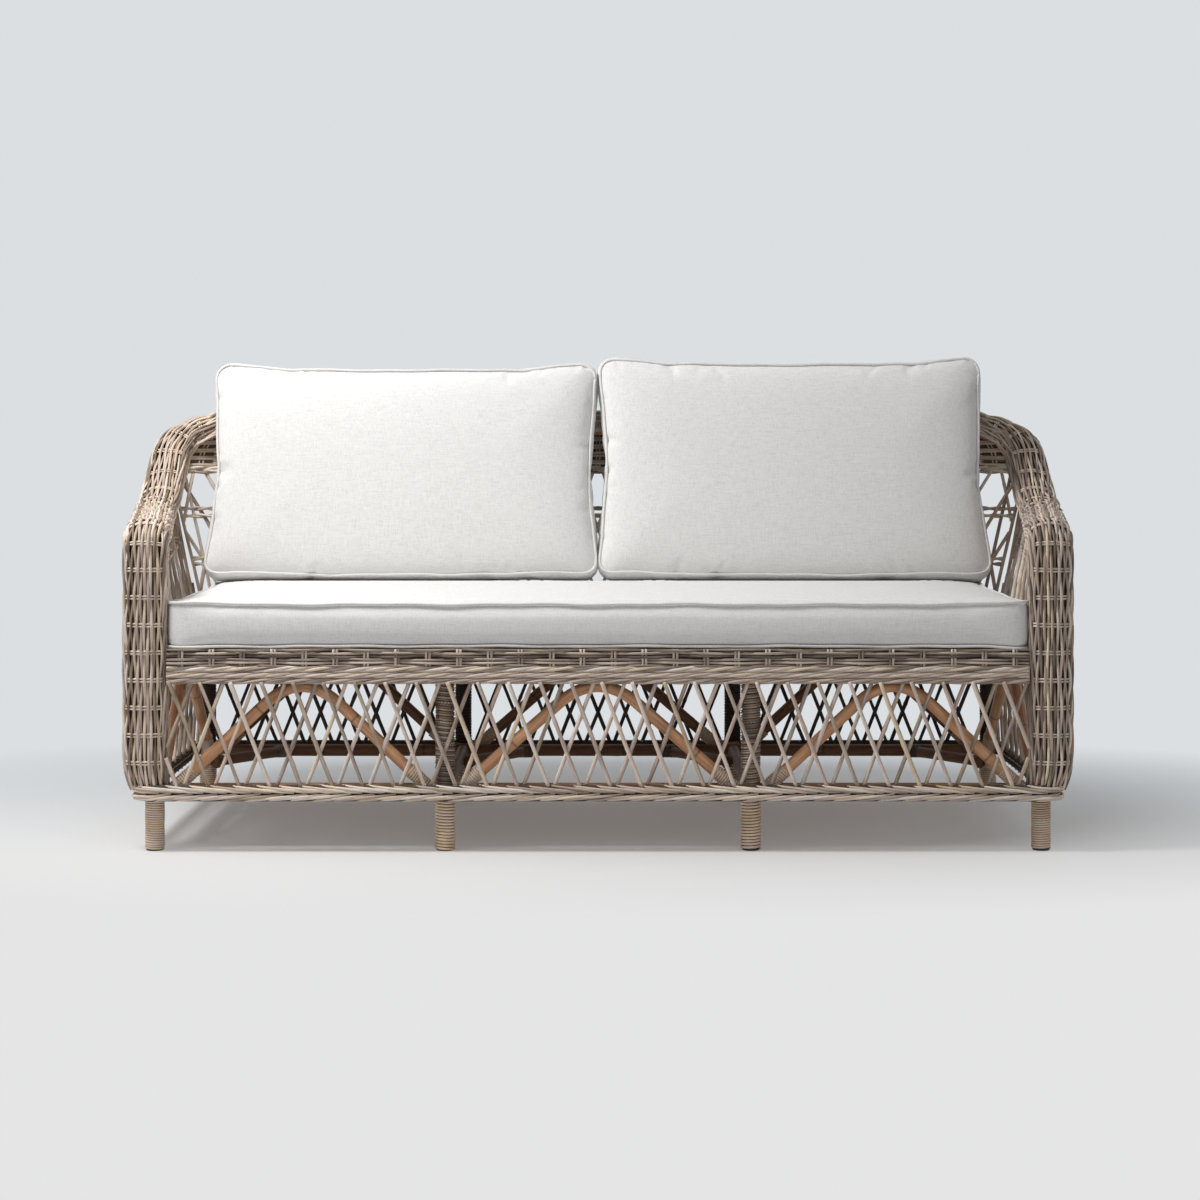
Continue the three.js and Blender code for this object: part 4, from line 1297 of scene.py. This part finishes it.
def cushion_mesh(name, width, depth, edge, crown_rise, under, corner, bow, proud, lift=0.0, flare=0.0):
    """A boxed cushion lying flat; lift raises its front edge, flare spreads its outer side at the foot."""
    outline, ways = rounded_outline(width, depth, corner, bow)
    count = len(outline)
    core = np.maximum(np.array([width, depth]) - min(width, depth), 0) / 2
    heart = np.clip(outline, -core, core)

    def panel(side, rise):
        for i in range(panel_rings):
            share = 1 - i / panel_rings
            height = side * (edge / 2 + rise * (1 - share**2.6))
            yield columns(*(heart + (outline - heart) * share).T, height)

    walls = []
    for i in range(1, wall_steps):
        bulge = proud * math.sin(math.pi * i / wall_steps)
        walls.append(columns(*(outline + ways * bulge).T, edge / 2 - edge * i / wall_steps))
    rings = [*list(panel(1, crown_rise))[::-1], *walls, *panel(-1, under)]
    points = np.concatenate(rings)
    near_foot = np.clip((foot_reach - depth / 2 - points[:, 1]) / foot_reach, 0, 1) ** 2
    points[:, 1] += lift * near_foot * np.clip(points[:, 2] / edge + 0.5, 0, 1) ** 1.5
    outer = np.clip(points[:, 0] * np.sign(flare) / (width / 2), 0, 1)
    points[:, 0] += flare * outer * (0.05 - points[:, 1] / depth)
    at = np.arange(len(points)).reshape(len(rings), count)
    mesh = new_mesh(name, points.tolist(), ring_faces(at))
    close_middle(mesh, at[0][::-1], at[-1])
    return placed(name, mesh), {"front": at[panel_rings - 1], "back": at[panel_rings + wall_steps - 1]}


def close_middle(mesh, *loops):
    """Closes the slit that the innermost ring leaves in each panel."""
    work = bmesh.new()
    work.from_mesh(mesh)
    work.verts.ensure_lookup_table()
    for loop in loops:
        work.faces.new([work.verts[i] for i in loop])
    bmesh.ops.triangulate(work, faces=[f for f in work.faces if len(f.verts) > 4])
    bmesh.ops.recalc_face_normals(work, faces=work.faces)
    work.to_mesh(mesh)
    work.free()
    mesh.shade_smooth()


def seat_pose():
    return Matrix.Translation((0, seat_front_y + seat_depth / 2, seat_base_z))


def back_pose(side, depth):
    middle = (
        side * (back_width + cushion_gap) / 2,
        back_stand_y + depth / 2 * math.sin(back_lean),
        seat_top_z - back_sink + depth / 2 * math.cos(back_lean),
    )
    return Matrix.Translation(middle) @ Matrix.Rotation(math.pi / 2 - back_lean, 4, "X")


def add_piping(name, points, ways, body):
    """A corded seam along a closed row of points."""
    ring = points + ways * piping_out
    for _ in range(3):
        ring = (np.roll(ring, 1, axis=0) + 2 * ring + np.roll(ring, -1, axis=0)) / 4
    along = lengths_along(np.vstack([ring, ring[:1]]))[:-1]
    wave = sum(reach * np.sin(along * turns + luck.uniform(0, 6)) for reach, turns in piping_waves)
    ring = ring + unit(np.cross(np.roll(ring, -1, axis=0) - ring, ways)) * wave[:, None]
    weave = Weave()
    weave.strand(np.vstack([ring, ring[:1]]), piping_radius, np.vstack([ways, ways[:1]]), sides=8)
    weave.make(name, piping_linen, body=body, slot="linen")


def points_of(mesh):
    values = np.empty(len(mesh.vertices) * 3, np.float32)
    mesh.vertices.foreach_get("co", values)
    return values.reshape(-1, 3).astype(float)


def set_points(mesh, points):
    mesh.vertices.foreach_set("co", points.astype(np.float32).ravel())
    mesh.update()


def apply_modifiers(work):
    bpy.context.view_layer.update()
    view = bpy.context.evaluated_depsgraph_get()
    mesh = bpy.data.meshes.new_from_object(work.evaluated_get(view))
    work.modifiers.clear()
    old = work.data
    work.data = mesh
    bpy.data.meshes.remove(old)


def inflated(work, pressure, cap, shrink):
    """Lets the cover swell as cloth under pressure; no point moves further than the cap."""
    before = points_of(work.data)
    cloth = work.modifiers.new("cloth", "CLOTH")
    settings = dict(
        use_pressure=True, uniform_pressure_force=pressure, quality=5, mass=0.3, tension_stiffness=14,
        compression_stiffness=14, shear_stiffness=6, bending_stiffness=0.25, shrink_min=shrink,
    )
    for key, value in settings.items():
        setattr(cloth.settings, key, value)
    cloth.settings.effector_weights.gravity = 0.0
    cloth.collision_settings.use_collision = False
    scene = bpy.context.scene
    for step in range(1, 19):
        scene.frame_set(step)
    apply_modifiers(work)
    scene.frame_set(1)
    move = points_of(work.data) - before
    move = move - move.mean(axis=0)
    length = np.linalg.norm(move, axis=1, keepdims=True)
    move = move * (cap * np.tanh(length / cap) / np.maximum(length, tiny))
    set_points(work.data, before + move)
    return before, move


def nearest_moves(before, move, points, count=6):
    """How the cloth moved near each of these points."""
    tree = KDTree(len(before))
    for index, point in enumerate(before):
        tree.insert(point, index)
    tree.balance()
    near = np.array([[hit[1] for hit in tree.find_n(point, count)] for point in points])
    return move[near].mean(axis=1)


def resting_drops(points, seat):
    """How far the cushion's lower edge hangs over the seat's cover, at places along it."""
    spots = np.linspace(points[:, 0].min() + rest_inset, points[:, 0].max() - rest_inset, 50)
    lows = []
    drops = []
    for spot in spots:
        near = points[np.abs(points[:, 0] - spot) < rest_width]
        low = near[near[:, 2].argmin()]
        hit = seat.ray_cast(Vector((spot, low[1], rest_from_z)), Vector((0, 0, -1)))[0]
        lows.append(low[2])
        drops.append(low[2] - hit[2] - rest_gap)
    return spots, lows, np.convolve(np.pad(drops, 3, mode="edge"), np.ones(7) / 7, mode="valid")


def rested(points, spots, lows, drops):
    """The cushion let down onto the seat: all of it at its lower edge, none of it further up."""
    low = np.interp(points[:, 0], spots, lows)
    share = np.clip(1 - (points[:, 2] - low) / rest_reach, 0, 1)
    points = points.copy()
    points[:, 2] -= np.interp(points[:, 0], spots, drops) * (share * share * (3 - 2 * share))
    return points


def add_cushion(node, pose, fill, voxel, swell, seat=None, **sizes):
    name = node + "_cover"
    work, seams = cushion_mesh(name, **sizes)
    points = points_of(work.data)
    normals = np.array([v.normal[:] for v in work.data.vertices])
    remesh = work.modifiers.new("remesh", "REMESH")
    remesh.mode = "VOXEL"
    remesh.voxel_size = voxel
    apply_modifiers(work)
    before, move = inflated(work, **swell)
    for seam in seams.values():
        points[seam] += nearest_moves(before, move, points[seam])
    work.modifiers.new("smooth", "SUBSURF").levels = 1
    apply_modifiers(work)
    work.data.transform(pose)
    work.data.shade_smooth()
    work.data.materials.clear()
    work.data.materials.append(linen)
    turn = np.array(pose.to_3x3())
    points = points @ turn.T + np.array(pose.translation)
    normals = normals @ turn.T
    if seat:
        cover = points_of(work.data)
        rest = resting_drops(cover, seat)
        set_points(work.data, rested(cover, *rest))
        points = rested(points, *rest)
    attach(work, node)
    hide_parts(node)
    for label, seam in seams.items():
        add_piping(f"{name}_{label}_piping", points[seam], normals[seam], node)
    return work.data


def add_cushions():
    seat = add_cushion(
        "seat_cushion", seat_pose(), fill=0.85, voxel=seat_voxel, swell=seat_swell,
        width=seat_width - slack, depth=seat_depth - slack, **seat_look,
    )
    top = BVHTree.FromPolygons([v.co for v in seat.vertices], [p.vertices[:] for p in seat.polygons])
    for side, name in sides:
        depth = back_depths[name]
        add_cushion(
            f"{name}_back_cushion", back_pose(side, depth), fill=0.75, voxel=back_voxel, swell=back_swell,
            seat=top,
            width=back_width - back_slack, depth=depth - slack, flare=side * back_flare, **back_look,
        )


# Camera, floor and light
camera_distance = 5.0
camera_height = 0.807
camera_lens = 76.9
camera_film = 36
camera_end = 200
camera_shift = (0.0017, -0.1367)
lamp_place = (-1.42, -0.80, 2.40)
lamp_aim = (0.0, 0, 0.4)
lamp_size = 0.7
lamp_power = 52
floor_half = 30
floor_depth_shift = 0.9
floor_depth_scale = 0.5
floor_side_shift = 2.0
floor_side_scale = 0.25
near_sofa = (("X", 0.02, 2.62), ("Y", -0.25, 1.7))
wall_colour = (0.708, 0.737, 0.760)
near_floor_colour = (0.783, 0.783, 0.785)


def seen_share(nodes):
    """One for what the camera sees directly, in a mirror or through glass, and nought for light."""
    path = nodes.add("LightPath").outputs
    seen = nodes.plus(path["Is Camera Ray"], path["Is Glossy Ray"])
    return nodes.maths("MINIMUM", nodes.plus(seen, path["Is Transmission Ray"]), 1.0)


def add_stage():
    """A floor that takes the sofa's shadow near it, with a painted shadow in its glow there, and fades into
    the backdrop's colour beyond.
    """
    material, nodes, shader = new_material("floor", 0.9)
    shader.inputs["Specular IOR Level"].default_value = 0.0
    place = nodes.split(nodes.coordinate("Object"))
    back = nodes.times(nodes.plus(place["Y"], floor_depth_shift), floor_depth_scale)
    plain = nodes.ramp(back, [(0.2, near_floor_colour), (0.62, wall_colour)])
    across = nodes.times(nodes.plus(place["X"], floor_side_shift), floor_side_scale)
    balance = nodes.ramp(across, [(0.1, grey(0.95)), (0.8, grey(1))])
    nodes.feed(shader.inputs["Base Color"], nodes.mixed(plain, balance))
    squares = [nodes.maths("POWER", nodes.times(nodes.plus(place[axis], shift), 1 / reach), 2.0)
               for axis, shift, reach in near_sofa]
    away = nodes.maths("POWER", nodes.plus(*squares), 0.5)
    fade = nodes.ramp(away, [(0.42, grey(0.22)), (0.80, grey(1))])
    # Near the sofa the glow's colour is darkened and warmed: a painted shadow.
    shade = nodes.ramp(away, [(0.22, (0.88, 0.79, 0.73)), (0.50, grey(1))])
    glow = nodes.add("Emission")
    nodes.feed(glow.inputs["Color"], nodes.mixed(plain, shade))
    output = material.node_tree.nodes["Material Output"]
    nodes.blended(nodes.times(fade, seen_share(nodes)), shader, glow, output)
    corners = [(x * floor_half, y * floor_half, 0) for x, y in ((-1, -1), (1, -1), (1, 1), (-1, 1))]
    mesh = new_mesh("floor", corners, [(0, 1, 2, 3)])
    mesh.materials.append(material)
    placed("floor", mesh)


def add_world():
    """Weak light from all round, a little more from above, and the backdrop's colour behind."""
    world = bpy.data.worlds.new("studio")
    bpy.context.scene.world = world
    world.use_nodes = True
    world.node_tree.nodes.clear()
    nodes = Nodes(world.node_tree)
    height = nodes.split(nodes.coordinate("Generated"))["Z"]
    lights = []
    for colour, strength in (
        (nodes.ramp(height, [(0.0, grey(0.42)), (1.0, grey(1.1))]), 0.48),
        (wall_colour, 1.0),
    ):
        light = nodes.add("Background")
        nodes.feed(light.inputs["Color"], colour)
        light.inputs["Strength"].default_value = strength
        lights.append(light)
    nodes.blended(seen_share(nodes), *lights, nodes.add("OutputWorld"))


def add_lamp():
    """One soft lamp high up at the front left."""
    lamp = bpy.data.lights.new("key", "AREA")
    lamp.shape = "RECTANGLE"
    lamp.size = lamp_size
    lamp.size_y = lamp_size
    lamp.energy = lamp_power
    lamp.color = (1.0, 0.99, 0.98)
    holder = placed("key", lamp)
    holder.location = lamp_place
    holder.rotation_euler = (Vector(lamp_aim) - Vector(lamp_place)).to_track_quat("-Z", "Y").to_euler()


def add_camera():
    data = bpy.data.cameras.new("camera")
    data.sensor_width = camera_film
    data.lens = camera_lens
    data.shift_x, data.shift_y = camera_shift
    data.clip_end = camera_end
    camera = placed("camera", data)
    camera.location = (0, front_leg_y - camera_distance, camera_height)
    camera.rotation_euler = (math.pi / 2, 0, 0)
    bpy.context.scene.camera = camera


add_camera()
add_world()
add_stage()
add_lamp()
add_bands()
add_braid()
add_aprons()
add_lower_lattices()
add_back()
add_arm_lattices()
add_poles()
add_windings()
add_glides()
add_deck()
add_cushions()
bpy.context.scene.view_settings.view_transform = "Standard"
